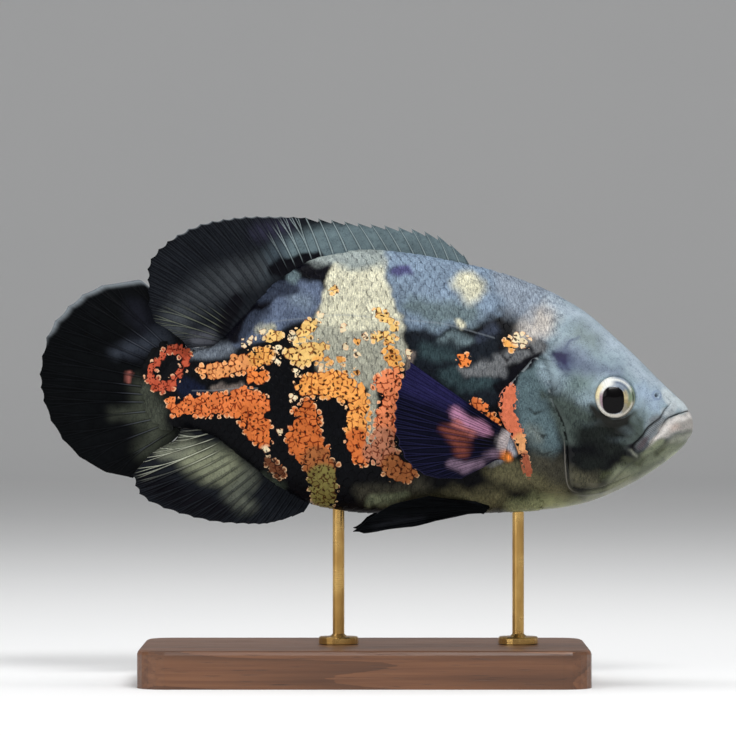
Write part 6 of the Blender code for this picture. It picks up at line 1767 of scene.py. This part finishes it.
def tail_surface(felt):
    def surface(behind, along, side):
        behind, along = np.broadcast_arrays(np.asarray(behind, float), np.asarray(along, float))
        height = STEM_MIDDLE + along
        row = np.clip((behind - felt_behind[0]) / FELT_STEP, 0, len(felt_behind) - 1.001)
        column = np.clip((height - felt_height[0]) / FELT_STEP, 0, len(felt_height) - 1.001)
        i, j = row.astype(int), column.astype(int)
        p, q = row - i, column - j
        near = felt[i, j] * (1 - q) + felt[i, j + 1] * q
        far = felt[i + 1, j] * (1 - q) + felt[i + 1, j + 1] * q
        return place(behind, height, side * (near * (1 - p) + far * p)), height

    return surface


STEM_MIDDLE = 0.0040
TAIL_ROOT_PATCH = ((0.2125, 0.0215), (0.2150, 0.0205), (0.2200, 0.0225), (0.2260, 0.0245), (0.2320, 0.0215),
                   (0.2355, 0.0140), (0.2355, 0.0060), (0.2345, -0.0010), (0.2330, -0.0070), (0.2270, -0.0120),
                   (0.2200, -0.0115), (0.2125, -0.0125))
for side, word in ((-1, "right"), (1, "left")):
    felt = feel((skin, tail_fin), side)
    lay_scales("tail_root_scales_" + word, side, FLANK_SPACING,
               lambda b, h, along, spacing: past_field(TAIL_ROOT_PATCH, b, h) < 0,
               lambda b: 0.00024 * np.interp(b, (0.215, 0.228, 0.236), (1.0, 0.7, 0.2)), MARKS, 61,
               surface=tail_surface(felt), raised=lambda b: 0.0001 + 0 * b)


# The studio is a pale floor that sweeps up behind, under soft lamps, with the camera square to the right flank
# from two metres away.

CAMERA_AWAY = 2.0
CAMERA_X = 0.00155
CAMERA_HEIGHT = 0.13363
FIELD_WIDTH = 736 * 0.000426
SWEEP_RADIUS = 1.2
SWEEP_START = 3.6
FLOOR_HALF = 6.0


def make_floor():
    profile = [(-FLOOR_HALF, 0.0), (SWEEP_START, 0.0)]
    for step in range(1, 25):
        turn = math.pi / 2 * step / 24
        profile.append((SWEEP_START + SWEEP_RADIUS * math.sin(turn), SWEEP_RADIUS * (1 - math.cos(turn))))
    profile.append((SWEEP_START + SWEEP_RADIUS, 6.0))
    rows = np.array([[(x, y, z) for x in (-FLOOR_HALF, FLOOR_HALF)] for y, z in profile]).reshape(-1, 3)
    mesh = bpy.data.meshes.new("studio_floor")
    faces = grid_faces(len(profile), 2)[:, ::-1]
    mesh.from_pydata(rows.tolist(), [], faces.tolist())
    mesh.shade_smooth()
    paper, tree, shader = new_finish("backdrop_paper", roughness=0.9)
    mottle = node(tree, "TexNoise", (stretched_place(tree, (1.0, 1.0, 1.0)), None, 2.0, 2.0, 0.5))
    join(tree, shader.inputs["Base Color"], blended(tree, mottle, tone(238, 239, 240), tone(243, 243, 243)))
    mesh.materials.append(paper)
    floor = bpy.data.objects.new("studio_floor", mesh)
    bpy.context.scene.collection.objects.link(floor)


def softbox(name, at, aim, width, watts):
    light = bpy.data.lights.new(name, "AREA")
    light.shape = "RECTANGLE"
    light.size, light.size_y = width
    light.energy = watts
    lamp = bpy.data.objects.new(name, light)
    lamp.location = at
    lamp.rotation_euler = (Vector(aim) - Vector(at)).to_track_quat("-Z", "Y").to_euler()
    bpy.context.scene.collection.objects.link(lamp)


make_floor()
MIDDLE = (0.0, 0.0, 0.12)
softbox("key_light", (0.5, -1.3, 1.5), MIDDLE, (1.0, 0.35), 22)
softbox("fill_light", (-1.3, -1.3, 0.7), MIDDLE, (1.0, 1.0), 7)
softbox("top_light", (0.0, 0.2, 1.6), MIDDLE, (1.6, 0.8), 14)
world = bpy.data.worlds.new("studio")
world.use_nodes = True
world.node_tree.nodes["Background"].inputs["Color"].default_value = (1.0, 1.0, 1.0, 1.0)
world.node_tree.nodes["Background"].inputs["Strength"].default_value = 0.30
bpy.context.scene.world = world

camera = bpy.data.objects.new("camera", bpy.data.cameras.new("camera"))
camera.location = (CAMERA_X, -CAMERA_AWAY, CAMERA_HEIGHT)
camera.rotation_euler = (math.pi / 2, 0.0, 0.0)
camera.data.angle = 2 * math.atan(FIELD_WIDTH / 2 / CAMERA_AWAY)
bpy.context.scene.collection.objects.link(camera)
bpy.context.scene.camera = camera
bpy.context.scene.view_settings.view_transform = "Standard"
